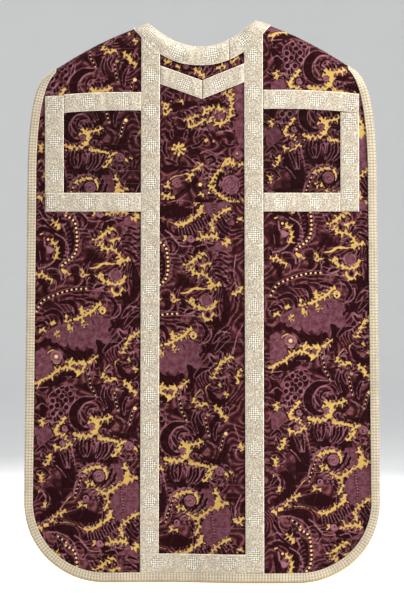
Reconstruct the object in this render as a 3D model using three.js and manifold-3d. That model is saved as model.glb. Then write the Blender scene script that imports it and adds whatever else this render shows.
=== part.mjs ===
// Roman (fiddleback) chasuble, hanging upright as it does from the wearer's shoulders.
// Millimetres, +Z up, +X to the wearer's right when seen from the front, -Y towards the back panel.
// The origin is midway between the neck points, at the top of the shoulder folds.
// Every layer of cloth is one inverted U: down the back, over both shoulders and down the front.
// A piece of cloth is its outline cut from its layer, so neighbours keep the same folds and depths.
import * as THREE from 'three';
import { mergeVertices } from 'three/addons/utils/BufferGeometryUtils.js';
import Module from 'manifold-3d';

const wasm = await Module();
wasm.setup();

// ---- Driving dimensions ------------------------------------------------------------------

const liningLength = 1110; // neck point to the lining's hem, on the back
const hemRise = 3.5; // the velvet ends this far above the lining's hem
const frontShorter = 75; // the front hem hangs this much higher than the back hem

const backWidth = 700; // back panel, at its widest above the rounded corners
const chestDepth = 321; // below the neck points, where the back panel starts to widen
const chestTaper = 6.5; // the back panel is this much narrower on each side at that depth
const backCornerRadius = 157;

const shoulderInset = 38.5; // each shoulder fold ends this far inside the back's side
const shoulderDrop = 100; // the folds' outer ends lie this far below the neck points
const shoulderBow = 0.38; // share of that drop which comes late, so that the shoulder is rounded

const frontChestInset = 108.5; // fiddle-shaped front, inside the back's side at its narrowest
const frontChestDepth = 380;
const frontHemInset = 55; // inside the back's side at the hem
const frontCornerRadius = 140;

const neckWidth = 215;
const backNeckDepth = 52;
const frontNeckDepth = 190;
const frontNeckFloor = 120; // straight bottom of the front neckline

const bodySpace = 50; // between the two linings
const liningThickness = 0.6;
const interliningThickness = 1.0;
const velvetThickness = 2.0;
const galloonThickness = 1.0;
const gap = 0.3; // between cloths that touch
const interliningInset = 6; // the stiffening stops this far inside the velvet's edge

const wideGalloon = 36.5;
const neckGalloon = 38;
const neckGalloonFlare = 30; // its width on the shoulder fold
const edgeGalloon = 17;
const pillarTop = 82.7; // centre line to a pillar's inner edge, level with the neck points
const pillarBottom = 85.6; // the same at the hem

const chevronDepth = 120; // neck points down to the chevron's upper edge, on the centre line
const chevronRise = 31.5; // it climbs this much between the centre line and a pillar
const armDepth = 141; // neck points down to the upper edge of the cross arms, at the pillars
const armSag = 8; // their upper bands run down this much towards the sides
const armHeight = 237; // over both bands, at the pillars
const armInset = 34.5; // back panel's side to the arm's outer edge

const shoulderSeam = 45; // the back's cloths reach this far down the front, to the shoulder seam
const frontPillarHalf = 68; // centre line to a front pillar's inner edge

// ---- Derived sizes -----------------------------------------------------------------------

const velvetLength = liningLength - hemRise;
const layers = stack({
  lining: liningThickness,
  interlining: interliningThickness,
  velvet: velvetThickness,
  galloon: galloonThickness,
});
const foldRadius = layers.galloon.outer;
const neckHalf = neckWidth / 2;
const chestHalf = backWidth / 2 - chestTaper;
const shoulderHalf = chestHalf - shoulderInset;
const pillarSeam = wideGalloon / 2; // pillar's inner edge to the velvet seam that it covers
const armOuter = chestHalf - armInset;
const armSeam = armOuter - wideGalloon / 2;
const frontNeckHalf = frontNeckFloor / 2;

const above = foldRadius; // outlines reach this far over the neck points, clear of the folds
const below = liningLength + above;
const ridgeLap = 0.25; // blocks of the back and of the front lap this far at the fold's ridge
const reach = backWidth / 2 + above;
const foldSteps = 24;
const arcSegments = 4;
const neckSegments = 8;

// ---- Solids ------------------------------------------------------------------------------

/** Half depths of each layer, from the lining outwards. */
function stack(thicknesses) {
  const placed = {};
  let inner = bodySpace / 2;
  for (const [name, thickness] of Object.entries(thicknesses)) {
    placed[name] = { inner, outer: inner + thickness };
    inner += thickness + gap;
  }
  return placed;
}

/** A closed geometry as a solid that can be joined and cut. */
function toSolid(geometry) {
  geometry.deleteAttribute('normal');
  geometry.deleteAttribute('uv');
  const merged = mergeVertices(geometry);
  return new wasm.Manifold(new wasm.Mesh({
    numProp: 3,
    vertProperties: merged.attributes.position.array,
    triVerts: merged.index.array,
  }));
}

/** Height of the shoulder fold over x, 0 at the neck points. */
function shoulderLine(x) {
  const along = Math.max(0, (Math.abs(x) - neckHalf) / (shoulderHalf - neckHalf));
  return -shoulderDrop * ((1 - shoulderBow) * along + shoulderBow * along ** 2);
}

/** One whole layer of cloth: an inverted U run along X, its top following the shoulder line. */
function foldedLayer({ inner, outer }) {
  const section = new THREE.Shape();
  section.moveTo(-outer, -below);
  section.lineTo(-outer, 0);
  section.absarc(0, 0, outer, Math.PI, 0, true);
  section.lineTo(outer, -below);
  section.lineTo(inner, -below);
  section.lineTo(inner, 0);
  section.absarc(0, 0, inner, 0, Math.PI, false);
  section.lineTo(-inner, -below);
  const geometry = new THREE.ExtrudeGeometry(section, {
    depth: 2 * reach, steps: foldSteps, curveSegments: arcSegments, bevelEnabled: false,
  });
  geometry.translate(0, 0, -reach);
  const [alongX, alongY, alongZ] = [[1, 0, 0], [0, 1, 0], [0, 0, 1]].map((v) => new THREE.Vector3(...v));
  geometry.applyMatrix4(new THREE.Matrix4().makeBasis(alongY, alongZ, alongX));
  const places = geometry.attributes.position;
  for (let i = 0; i < places.count; i += 1) {
    places.setZ(i, places.getZ(i) + shoulderLine(places.getX(i)) - foldRadius);
  }
  return toSolid(geometry);
}

/** An outline in X and Z as a block through the back half (-Y) or the front half (+Y). */
function block(shape, side) {
  const depth = 2 * foldRadius;
  const geometry = new THREE.ExtrudeGeometry(shape, {
    depth, curveSegments: arcSegments, bevelEnabled: false,
  });
  geometry.rotateX(Math.PI / 2);
  geometry.translate(0, side === 'front' ? depth - ridgeLap : ridgeLap, 0);
  return toSolid(geometry);
}

// ---- Outlines, all in X and Z ------------------------------------------------------------

function shapeOf(points) {
  return new THREE.Shape(points.map(([x, z]) => new THREE.Vector2(x, z)));
}

/** Both sides of a panel, from its hem to above the shoulder folds, with the neck still filled. */
function panelOutline(p) {
  const half = p.hemWidth / 2 - p.inset;
  const radius = p.cornerRadius - p.inset;
  const hem = -(p.length - p.inset);
  const chest = p.chestWidth / 2 - p.inset;
  const tip = shoulderHalf - p.inset;
  const easing = (p.chestDepth - shoulderDrop) / 3;
  const shape = new THREE.Shape();
  shape.moveTo(-tip, above);
  shape.lineTo(-tip, -shoulderDrop);
  shape.bezierCurveTo(
    -tip - p.tipFlare, -shoulderDrop - p.tipFlare,
    -chest, -p.chestDepth + 2 * easing,
    -chest, -p.chestDepth,
  );
  shape.lineTo(-half, hem + radius);
  shape.absarc(-half + radius, hem + radius, radius, Math.PI, 1.5 * Math.PI, false);
  shape.absarc(half - radius, hem + radius, radius, 1.5 * Math.PI, 2 * Math.PI, false);
  shape.lineTo(chest, -p.chestDepth);
  shape.bezierCurveTo(
    chest, -p.chestDepth + 2 * easing,
    tip + p.tipFlare, -shoulderDrop - p.tipFlare,
    tip, -shoulderDrop,
  );
  shape.lineTo(tip, above);
  return shape;
}

const panels = {
  back: {
    hemWidth: backWidth,
    chestWidth: 2 * chestHalf,
    chestDepth,
    cornerRadius: backCornerRadius,
    length: velvetLength,
    tipFlare: shoulderInset / 2,
  },
  front: {
    hemWidth: backWidth - 2 * frontHemInset,
    chestWidth: 2 * (chestHalf - frontChestInset),
    chestDepth: frontChestDepth,
    cornerRadius: frontCornerRadius,
    length: velvetLength - frontShorter,
    tipFlare: 0,
  },
};

/** A whole panel as a block, drawn in from its edge by inset and let down by longer. */
function panel(side, inset = 0, longer = 0) {
  const sizes = panels[side];
  return block(panelOutline({ ...sizes, length: sizes.length + longer, inset }), side);
}

/** Points of the curve that hangs below the neck, from the left to the right. */
function neckCurve(halfWidth, depth, endHeight, power) {
  const points = [];
  for (let i = -neckSegments; i <= neckSegments; i += 1) {
    const share = i / neckSegments;
    points.push([share * halfWidth, -depth + (depth + endHeight) * Math.abs(share) ** power]);
  }
  return points;
}

/** What is cut away above the back neckline, or, with the galloon's width, above its lower edge. */
function backNeck(withGalloon, extra = 0) {
  const half = neckHalf + (withGalloon ? neckGalloonFlare : 0) + extra;
  const depth = backNeckDepth + (withGalloon ? neckGalloon : 0) + extra;
  const height = withGalloon ? shoulderLine(half) : 0;
  const curve = neckCurve(half, depth, height, withGalloon ? 2.3 : 2);
  return block(shapeOf([[-half, above], ...curve, [half, above]]), 'back');
}

/** The same for the straight-sided front neckline. */
function frontNeck(withGalloon, extra = 0) {
  const wide = (withGalloon ? neckGalloonFlare : 0) + extra;
  const deep = (withGalloon ? neckGalloon : 0) + extra;
  const top = neckHalf + wide;
  const floor = frontNeckHalf + wide;
  const bottom = -(frontNeckDepth + deep);
  return block(shapeOf([[-top, above], [-top, 0], [-floor, bottom],
    [floor, bottom], [top, 0], [top, above]]), 'front');
}

/** Everything in front of the shoulders that is above or below the shoulder seam. */
function seamSide(isAbove) {
  const points = [];
  for (let i = 0; i <= foldSteps; i += 1) {
    const x = -reach + (2 * reach * i) / foldSteps;
    points.push([x, shoulderLine(x) - shoulderSeam + (isAbove ? gap / 2 : -gap / 2)]);
  }
  const far = isAbove ? above : -below;
  return block(shapeOf([[-reach, far], ...points, [reach, far]]), 'front');
}

/** Inner edge of a back pillar, which leans out slightly towards the hem. */
function pillarEdge(z) {
  return pillarTop + (pillarBottom - pillarTop) * (-z / velvetLength);
}

/** A strip beside the back's pillars, between two distances from their inner edge. */
function besidePillar(from, to, bottom, top) {
  return [[pillarEdge(bottom) + from, bottom], [pillarEdge(bottom) + to, bottom],
    [pillarEdge(top) + to, top], [pillarEdge(top) + from, top]];
}

function mirrored(points) {
  return points.map(([x, z]) => [-x, z]);
}

/** Points drawn for +X, as a block on one side of the garment. */
function sided(points, side, right) {
  return block(shapeOf(right ? points : mirrored(points)), side);
}

// ---- The cloths of the back --------------------------------------------------------------

const cloth = {};
for (const name of Object.keys(layers)) cloth[name] = foldedLayer(layers[name]);

const backPanel = panel('back').subtract(backNeck(false));
const frontPanel = panel('front').subtract(frontNeck(false));
const overShoulder = frontPanel.intersect(seamSide(true));
const frontBelowSeam = frontPanel.intersect(seamSide(false));
const halves = {
  [true]: block(shapeOf([[0, -below], [reach, -below], [reach, above], [0, above]]), 'front'),
  [false]: block(shapeOf([[0, -below], [-reach, -below], [-reach, above], [0, above]]), 'front'),
};

const hemLine = -velvetLength;
const footBottom = hemLine + edgeGalloon + gap;
const footTop = footBottom + wideGalloon;
const armBottom = -(armDepth + armHeight);

/** Top of the cross arm's upper band at x. */
function armTop(x) {
  const start = pillarTop + wideGalloon;
  return -armDepth - armSag * ((x - start) / (armOuter - start));
}

/** The opening in the side velvet that the cross arm's own velvet fills, grown by extra. */
function armField(extra) {
  const outer = armSeam + extra;
  const half = wideGalloon / 2 - extra;
  const bottom = armBottom + half;
  const from = pillarSeam + gap / 2;
  return [[pillarEdge(bottom) + from, bottom], [outer, bottom], [outer, armTop(outer) - half],
    [pillarEdge(armTop(0)) + from, armTop(pillarTop) - half]];
}

function backCentreVelvet() {
  const seam = pillarSeam - gap / 2;
  const strip = besidePillar(0, seam, -below, above);
  const outline = [...strip.slice(1, 3), ...mirrored(strip.slice(1, 3)).reverse()];
  return cloth.velvet.intersect(backPanel).intersect(block(shapeOf(outline), 'back'));
}

function backSideVelvet(right) {
  const beyond = besidePillar(pillarSeam + gap / 2, reach, -below, above);
  const field = sided(armField(gap / 2), 'back', right);
  const onBack = backPanel.intersect(sided(beyond, 'back', right)).subtract(field);
  const onFront = overShoulder.intersect(halves[right]);
  return cloth.velvet.intersect(onBack.add(onFront));
}

function backArmVelvet(right) {
  return cloth.velvet.intersect(sided(armField(-gap / 2), 'back', right));
}

function galloonOnBack(points, right) {
  const free = panel('back', edgeGalloon + gap).subtract(backNeck(true, gap));
  return cloth.galloon.intersect(free).intersect(sided(points, 'back', right));
}

/** The right pillar runs down to the foot's lower edge; the left one ends on the foot. */
function backPillar(right) {
  const bottom = right ? footBottom : footTop + gap;
  return galloonOnBack(besidePillar(0, wideGalloon, bottom, above), right);
}

function backFoot() {
  const left = -(pillarEdge(footBottom) + wideGalloon);
  const right = pillarEdge(footTop) - gap;
  return galloonOnBack([[left, footBottom], [right, footBottom], [right, footTop],
    [left, footTop]], true);
}

function backChevron(right) {
  const side = pillarTop - gap;
  const rise = (chevronRise * side) / pillarTop;
  return galloonOnBack([[gap / 2, -chevronDepth - wideGalloon],
    [side, rise - chevronDepth - wideGalloon], [side, rise - chevronDepth],
    [gap / 2, -chevronDepth]], right);
}

/** Upper band: the right one runs to the arm's outer edge, the left one stops at the side band. */
function backArmTop(right) {
  const outer = right ? armOuter : armOuter - wideGalloon - gap;
  const inner = pillarEdge(-armDepth) + wideGalloon + gap;
  return galloonOnBack([[inner, armTop(inner) - wideGalloon], [outer, armTop(outer) - wideGalloon],
    [outer, armTop(outer)], [inner, armTop(inner)]], right);
}

/** Side band: the right one runs from the upper band to the bottom, the left one from the top. */
function backArmSide(right) {
  const inner = armOuter - wideGalloon;
  const drop = right ? wideGalloon + gap : 0;
  const bottom = right ? armBottom : armBottom + wideGalloon + gap;
  return galloonOnBack([[inner, bottom], [armOuter, bottom], [armOuter, armTop(armOuter) - drop],
    [inner, armTop(inner) - drop]], right);
}

/** Lower band: the left one runs to the arm's outer edge, the right one stops at the side band. */
function backArmBottom(right) {
  const outer = right ? armOuter - wideGalloon - gap : armOuter;
  const inner = pillarEdge(armBottom) + wideGalloon + gap;
  return galloonOnBack([[inner, armBottom], [outer, armBottom],
    [outer, armBottom + wideGalloon], [inner, armBottom + wideGalloon]], right);
}

/** The neck galloon has a join over the right chevron, and runs over both shoulders. */
function backNeckGalloon(right) {
  const join = neckGalloon * 1.4;
  const x = right ? join + gap / 2 : join - gap / 2;
  const far = right ? reach : -reach;
  const part = block(shapeOf([[x, -below], [far, -below], [far, above], [x, above]]), 'back');
  const band = backPanel.intersect(backNeck(true)).intersect(part);
  const front = overShoulder.intersect(frontNeck(true)).intersect(halves[right]);
  return cloth.galloon.intersect(band.add(front));
}

function backEdgeGalloon() {
  const band = panel('back').subtract(panel('back', edgeGalloon));
  const front = overShoulder.subtract(panel('front', edgeGalloon));
  return cloth.galloon.intersect(band.add(front));
}

/** A layer that covers the whole back and runs over the shoulders to the shoulder seam. */
function wholeBack(layer, inset, longer) {
  const back = panel('back', inset, longer).subtract(backNeck(false, inset));
  const front = panel('front', inset).subtract(frontNeck(false, inset)).intersect(seamSide(true));
  return layer.intersect(back.add(front));
}

// ---- The cloths of the front -------------------------------------------------------------

const frontHem = -(velvetLength - frontShorter);
const frontFootBottom = frontHem + edgeGalloon + gap;
const frontFootTop = frontFootBottom + wideGalloon;

function frontCentreVelvet() {
  const half = frontPillarHalf + pillarSeam - gap / 2;
  const strip = shapeOf([[-half, -below], [half, -below], [half, above], [-half, above]]);
  return cloth.velvet.intersect(frontBelowSeam).intersect(block(strip, 'front'));
}

function frontSideVelvet(right) {
  const from = frontPillarHalf + pillarSeam + gap / 2;
  const beyond = [[from, -below], [reach, -below], [reach, above], [from, above]];
  return cloth.velvet.intersect(frontBelowSeam).intersect(sided(beyond, 'front', right));
}

function galloonOnFront(points, right) {
  const inside = panel('front', edgeGalloon + gap).intersect(seamSide(false));
  const free = inside.subtract(frontNeck(true, gap));
  return cloth.galloon.intersect(free).intersect(sided(points, 'front', right));
}

function frontPillar(right) {
  const outer = frontPillarHalf + wideGalloon;
  const bottom = frontFootTop + gap;
  return galloonOnFront([[frontPillarHalf, bottom], [outer, bottom], [outer, above],
    [frontPillarHalf, above]], right);
}

function frontFoot() {
  const half = frontPillarHalf + wideGalloon;
  return galloonOnFront([[-half, frontFootBottom], [half, frontFootBottom],
    [half, frontFootTop], [-half, frontFootTop]], true);
}

/** The bands down both sides of the front neckline end above the band across its floor. */
function frontNeckGalloon(part) {
  const band = cloth.galloon.intersect(frontBelowSeam).intersect(frontNeck(true));
  const floor = -frontNeckDepth;
  const across = (from, to) => block(shapeOf([[-reach, from], [reach, from], [reach, to],
    [-reach, to]]), 'front');
  if (part === 'bottom') return band.intersect(across(-below, floor - gap / 2));
  return band.intersect(across(floor + gap / 2, above)).intersect(halves[part === 'right']);
}

function frontEdgeGalloon() {
  return cloth.galloon.intersect(frontBelowSeam.subtract(panel('front', edgeGalloon)));
}

function wholeFront(layer, inset, longer) {
  const front = panel('front', inset, longer).subtract(frontNeck(false, inset));
  return layer.intersect(front).intersect(seamSide(false));
}

// ---- The garment -------------------------------------------------------------------------

const materials = {
  velvet: new THREE.MeshStandardMaterial({ color: 0x4a2236, roughness: 0.9, metalness: 0 }),
  wideGalloon: new THREE.MeshStandardMaterial({ color: 0xc3b69f, roughness: 0.5, metalness: 0.3 }),
  edgeGalloon: new THREE.MeshStandardMaterial({ color: 0xb7a384, roughness: 0.6, metalness: 0.2 }),
  lining: new THREE.MeshStandardMaterial({ color: 0xc8a142, roughness: 0.7, metalness: 0 }),
  interlining: new THREE.MeshStandardMaterial({ color: 0xd8cfba, roughness: 0.95, metalness: 0 }),
};

/** A solid as a named mesh of the garment. */
function sewOn(garment, name, solid, material) {
  const { vertProperties, triVerts, numProp } = solid.getMesh();
  const geometry = new THREE.BufferGeometry();
  geometry.setAttribute('position', new THREE.BufferAttribute(vertProperties, numProp));
  geometry.setIndex(new THREE.BufferAttribute(triVerts, 1));
  geometry.computeVertexNormals();
  const mesh = new THREE.Mesh(geometry, material);
  mesh.name = name;
  garment.add(mesh);
}

function makeBack(garment) {
  sewOn(garment, 'back_lining', wholeBack(cloth.lining, 0, hemRise), materials.lining);
  sewOn(garment, 'back_interlining', wholeBack(cloth.interlining, interliningInset, 0),
    materials.interlining);
  sewOn(garment, 'back_centre_velvet', backCentreVelvet(), materials.velvet);
  sewOn(garment, 'back_foot_galloon', backFoot(), materials.wideGalloon);
  sewOn(garment, 'back_edge_galloon', backEdgeGalloon(), materials.edgeGalloon);
  for (const right of [false, true]) {
    const side = right ? 'right' : 'left';
    sewOn(garment, `back_side_velvet_${side}`, backSideVelvet(right), materials.velvet);
    sewOn(garment, `back_arm_velvet_${side}`, backArmVelvet(right), materials.velvet);
    const bands = {
      pillar_galloon: backPillar,
      chevron_galloon: backChevron,
      arm_top_galloon: backArmTop,
      arm_side_galloon: backArmSide,
      arm_bottom_galloon: backArmBottom,
      neck_galloon: backNeckGalloon,
    };
    for (const [name, make] of Object.entries(bands)) {
      sewOn(garment, `back_${name}_${side}`, make(right), materials.wideGalloon);
    }
  }
}

function makeFront(garment) {
  sewOn(garment, 'front_lining', wholeFront(cloth.lining, 0, hemRise), materials.lining);
  sewOn(garment, 'front_interlining', wholeFront(cloth.interlining, interliningInset, 0),
    materials.interlining);
  sewOn(garment, 'front_centre_velvet', frontCentreVelvet(), materials.velvet);
  sewOn(garment, 'front_foot_galloon', frontFoot(), materials.wideGalloon);
  sewOn(garment, 'front_neck_galloon_bottom', frontNeckGalloon('bottom'), materials.wideGalloon);
  sewOn(garment, 'front_edge_galloon', frontEdgeGalloon(), materials.edgeGalloon);
  for (const side of ['left', 'right']) {
    const right = side === 'right';
    sewOn(garment, `front_side_velvet_${side}`, frontSideVelvet(right), materials.velvet);
    sewOn(garment, `front_pillar_galloon_${side}`, frontPillar(right), materials.wideGalloon);
    sewOn(garment, `front_neck_galloon_${side}`, frontNeckGalloon(side), materials.wideGalloon);
  }
}

const chasuble = new THREE.Group();
makeBack(chasuble);
makeFront(chasuble);

export default chasuble;
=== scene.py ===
"""Fiddleback chasuble in figured velvet: the cloths, braids and linings on the packed frame."""

import math

import bmesh
import bpy
import numpy as np
from mathutils import Matrix, Vector


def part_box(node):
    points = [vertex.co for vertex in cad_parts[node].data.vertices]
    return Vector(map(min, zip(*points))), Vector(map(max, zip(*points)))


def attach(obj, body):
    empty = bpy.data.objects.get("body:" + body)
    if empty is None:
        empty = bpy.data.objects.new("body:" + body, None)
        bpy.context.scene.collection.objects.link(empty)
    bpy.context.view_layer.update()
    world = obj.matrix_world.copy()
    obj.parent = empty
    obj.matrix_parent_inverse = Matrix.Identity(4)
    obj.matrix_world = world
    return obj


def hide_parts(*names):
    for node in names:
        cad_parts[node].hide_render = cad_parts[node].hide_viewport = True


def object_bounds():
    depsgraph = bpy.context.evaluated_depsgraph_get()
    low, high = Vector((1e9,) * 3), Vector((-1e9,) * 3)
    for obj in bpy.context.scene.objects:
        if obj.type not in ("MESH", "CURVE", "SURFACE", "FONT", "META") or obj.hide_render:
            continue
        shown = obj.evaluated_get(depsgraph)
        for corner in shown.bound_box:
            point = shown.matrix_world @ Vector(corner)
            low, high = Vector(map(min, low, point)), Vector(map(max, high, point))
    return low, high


bl_info = {
    "name": "Fiddleback chasuble",
    "version": (1, 0, 0),
    "blender": (4, 5, 0),
    "location": "3D View > Sidebar > Chasuble",
    "description": "Makes the cloths, galloons and linings of a fiddleback chasuble, and its stage",
    "category": "Add Mesh",
}

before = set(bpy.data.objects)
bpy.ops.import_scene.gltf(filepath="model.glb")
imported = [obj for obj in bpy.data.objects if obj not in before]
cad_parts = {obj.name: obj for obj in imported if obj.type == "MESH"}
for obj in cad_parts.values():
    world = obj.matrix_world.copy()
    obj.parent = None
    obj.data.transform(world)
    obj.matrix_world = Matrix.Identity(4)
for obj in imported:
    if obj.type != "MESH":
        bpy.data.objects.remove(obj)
CAD_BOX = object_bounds()
BODY = "root"


# ---- Layers and outlines taken from the frame ---------------------------------------------

def outer_face(node):
    """How far a node's outer face stands from the middle of the garment."""
    low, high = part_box(node)
    return max(-low.y, high.y)


def height_of_hem(node):
    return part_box(node)[0].z


FOLD = outer_face("back_edge_galloon")
RADII = {
    "lining": outer_face("back_lining"),
    "interlining": outer_face("back_interlining"),
    "velvet": outer_face("back_side_velvet_left"),
    "galloon": FOLD,
}
HALF_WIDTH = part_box("back_lining")[1].x
FRONT_HALF_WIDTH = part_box("front_lining")[1].x
BACK_HEM = height_of_hem("back_edge_galloon")
BACK_LINING_HEM = height_of_hem("back_lining")
FRONT_HEM = height_of_hem("front_edge_galloon")
FRONT_LINING_HEM = height_of_hem("front_lining")
ARM_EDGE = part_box("back_arm_side_galloon_right")[1].x
ARM_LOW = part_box("back_arm_side_galloon_right")[0].z
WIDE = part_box("back_arm_bottom_galloon_left")[1].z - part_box("back_arm_bottom_galloon_left")[0].z
PILLAR_IN_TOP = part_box("back_pillar_galloon_right")[0].x
FRONT_PILLAR_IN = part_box("front_pillar_galloon_right")[0].x
FOOT_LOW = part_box("back_foot_galloon")[0].z
FRONT_FOOT_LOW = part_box("front_foot_galloon")[0].z

MM = 0.001
SIDES = ((-1, "left"), (1, "right"))
BACK_GALLOONS = [name for name in sorted(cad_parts) if "galloon" in name and "back" in name]
FRONT_GALLOONS = [name for name in sorted(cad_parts) if "galloon" in name and "front" in name]


# ---- Sizes and colours that a user would change --------------------------------------------

def length(name, description, default):
    return bpy.props.FloatProperty(
        name=name, description=description, default=default, unit="LENGTH", precision=4)


def colour(name, description, default):
    return bpy.props.FloatVectorProperty(
        name=name, description=description, default=default, subtype="COLOR", size=3, min=0, max=1)


class ChasubleCut(bpy.types.PropertyGroup):
    """The cut of the panels, as the frame has it."""

    shoulder_drop: length("Shoulder drop", "Neck point down to a fold's outer end", 0.100)
    shoulder_inset: length("Shoulder inset", "Fold's end inside the back's side", 0.0385)
    chest_taper: length("Chest taper", "Back narrower on each side at the chest", 0.0065)
    chest_depth: length("Chest depth", "Neck point down to the chest", 0.321)
    corner: length("Corner radius", "Rounding of the back's lower corners", 0.157)
    front_chest_inset: length("Front chest inset", "Front inside the back at the chest", 0.1085)
    front_chest_depth: length("Front chest depth", "Neck point down to the front's waist", 0.380)
    front_corner: length("Front corner radius", "Rounding of the front's lower corners", 0.140)
    neck_half: length("Half neck width", "Centre line to a neck point", 0.1075)
    back_neck: length("Back neck depth", "Neck points down to the back neckline", 0.052)
    front_neck: length("Front neck depth", "Neck points down to the front neckline", 0.190)
    front_neck_half: length("Half neck floor", "Half of the front neckline's floor", 0.060)
    seam_drop: length("Shoulder seam", "Fold down to the shoulder seam, in front", 0.045)
    pillar_lean: length("Pillar lean", "How far a pillar leans out by the hem", 0.0029)
    neck_braid: length("Neck galloon", "Width of the neck galloon on the centre line", 0.038)
    neck_join: length("Neck join", "Centre line to the neck galloon's seam", 0.0532)
    neck_flare: length("Neck flare", "Width of the neck galloon on the fold", 0.030)
    edge_braid: length("Edge galloon", "Width of the edge galloon", 0.017)
    arm_depth: length("Arm depth", "Neck points down to the cross arms", 0.141)
    arm_sag: length("Arm sag", "Upper arm bands run down towards the sides", 0.008)
    chevron_depth: length("Chevron depth", "Neck points down to the chevron", 0.120)
    chevron_rise: length("Chevron rise", "Chevron climbs to the pillars", 0.0315)


class ChasubleDrape(bpy.types.PropertyGroup):
    """How the cloths hang."""

    wave: length("Wave depth", "Depth of the waves that the panels hang in", 0.0045)
    pucker: length("Pucker", "Height of the puckers along the galloons", 0.0009)
    pile: length("Pile height", "Cut pile above the silk ground", 0.0011)
    tilt: bpy.props.FloatProperty(
        name="Tilt", description="Slope of the neck points, in turns of their width", default=0.0275)


class ChasubleColours(bpy.types.PropertyGroup):
    """Thread and ground colours."""

    pile_dark: colour("Cut pile", "Deep aubergine of the cut pile", (0.0110, 0.0010, 0.0016))
    pile_mid: colour("Uncut field", "Plum of the uncut field", (0.058, 0.0125, 0.0155))
    leaf: colour("Plain leaf", "Mauve of the plain leaves", (0.125, 0.046, 0.062))
    loop: colour("Loop outline", "Mauve of the loop outlines", (0.235, 0.100, 0.115))
    ground: colour("Silk ground", "Mustard silk ground", (0.435, 0.290, 0.068))
    bead: colour("Bead", "Apricot of the brocaded beads", (0.560, 0.300, 0.130))
    silver: colour("Galloon", "Tarnished silver thread", (0.485, 0.410, 0.300))
    edging: colour("Edge galloon", "Beige edge braid", (0.430, 0.350, 0.235))
    lining: colour("Lining", "Mustard silk lining", (0.520, 0.330, 0.075))
    linen: colour("Linen", "Unbleached linen", (0.640, 0.570, 0.450))


def cut():
    return bpy.context.scene.chasuble_cut


def drape():
    return bpy.context.scene.chasuble_drape


def colours():
    return bpy.context.scene.chasuble_colours


# ---- The cut: outlines in x and in distance along the cloth --------------------------------

def smooth(low, high, value):
    share = np.clip((value - low) / (high - low), 0, 1)
    return share * share * (3 - 2 * share)


BOW = 0.38  # share of the shoulder's fall that is curved


def shoulder_line(x):
    """Height of the shoulder fold over x, nought at the neck points."""
    c = cut()
    tip = HALF_WIDTH - c.chest_taper - c.shoulder_inset
    along = np.maximum(0, (np.abs(x) - c.neck_half) / (tip - c.neck_half))
    return -c.shoulder_drop * ((1 - BOW) * along + BOW * along**2)


def spring(x):
    """Height at which the fold starts to turn over the shoulder."""
    return shoulder_line(x) - FOLD


def back_run(x, z, r):
    """Distance along the cloth, nought where the fold starts, for a height on the back."""
    rise = z - spring(x)
    return np.where(rise <= 0, rise, r * np.arcsin(np.clip(rise / r, 0, 1)))


def front_run(x, z, r):
    return math.pi * r - back_run(x, z, r)


def flat_height(x, run):
    """Height of a point if the cloth were unfolded upwards, which is its place in the bolt."""
    return spring(x) + run


def bezier(a, b, c, d, t):
    a, b, c, d = (np.array(p)[None, :] for p in (a, b, c, d))
    t = t[:, None]
    return a * (1 - t) ** 3 + 3 * b * t * (1 - t) ** 2 + 3 * c * t**2 * (1 - t) + d * t**3


EDGE_STEPS = 48  # on each of a panel edge's four stretches
FOOT_POINTS = EDGE_STEPS - 1  # of them along the hem


def panel_edge(front, inset=0.0, lower=0.0, steps=EDGE_STEPS):
    """Right-hand edge of a panel from the fold's end down its side and along the hem."""
    c = cut()
    chest = HALF_WIDTH - c.chest_taper
    tip = chest - c.shoulder_inset - inset
    if front:
        half, waist, depth = FRONT_HALF_WIDTH, chest - c.front_chest_inset, c.front_chest_depth
        radius, hem, flare = c.front_corner, FRONT_HEM, 0.0
    else:
        half, waist, depth = HALF_WIDTH, chest, c.chest_depth
        radius, hem, flare = c.corner, BACK_HEM, c.shoulder_inset / 2
    half, waist, radius, hem = half - inset, waist - inset, radius - inset, hem + inset - lower
    ease = (depth - c.shoulder_drop) / 3
    t = np.linspace(0, 1, steps)
    upper = bezier((tip, -c.shoulder_drop), (tip + flare, -c.shoulder_drop - flare),
                   (waist, -depth + 2 * ease), (waist, -depth), t)
    side = np.stack([np.full(steps, waist) + (half - waist) * t,
                     -depth + (hem + radius + depth) * t], 1)
    turn = t * math.pi / 2
    corner = np.stack([half - radius + radius * np.cos(turn),
                       hem + radius - radius * np.sin(turn)], 1)
    foot = np.stack([(half - radius) * (1 - t), np.full(steps, hem)], 1)
    return np.concatenate([upper, side[1:], corner[1:], foot[1:]])


def neckline(x, wide=0.0, deep=0.0, power=2.0):
    """Height of the back neckline, or of a curve that follows it lower down."""
    c = cut()
    half = c.neck_half + wide
    end = shoulder_line(half)
    depth = c.back_neck + deep
    return -depth + (depth + end) * np.clip(np.abs(x) / half, 0, 1) ** power


def front_lean():
    """How far the front neckline's sides come in for each step down."""
    return (cut().neck_half - cut().front_neck_half) / cut().front_neck


def front_neckline(x, inset=0.0):
    """Height of the front neckline, whose floor is flat, or of a line lower down."""
    c = cut()
    floor = c.front_neck + inset
    depth = np.where(np.abs(x) < c.front_neck_half, floor,
                     (c.neck_half + inset - np.abs(x)) / front_lean())
    return -np.clip(depth, 0, floor)


def pillar_in(z):
    return PILLAR_IN_TOP + cut().pillar_lean * (z / BACK_HEM)


# ---- Hanging: from the flat cut to the draped garment --------------------------------------

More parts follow.
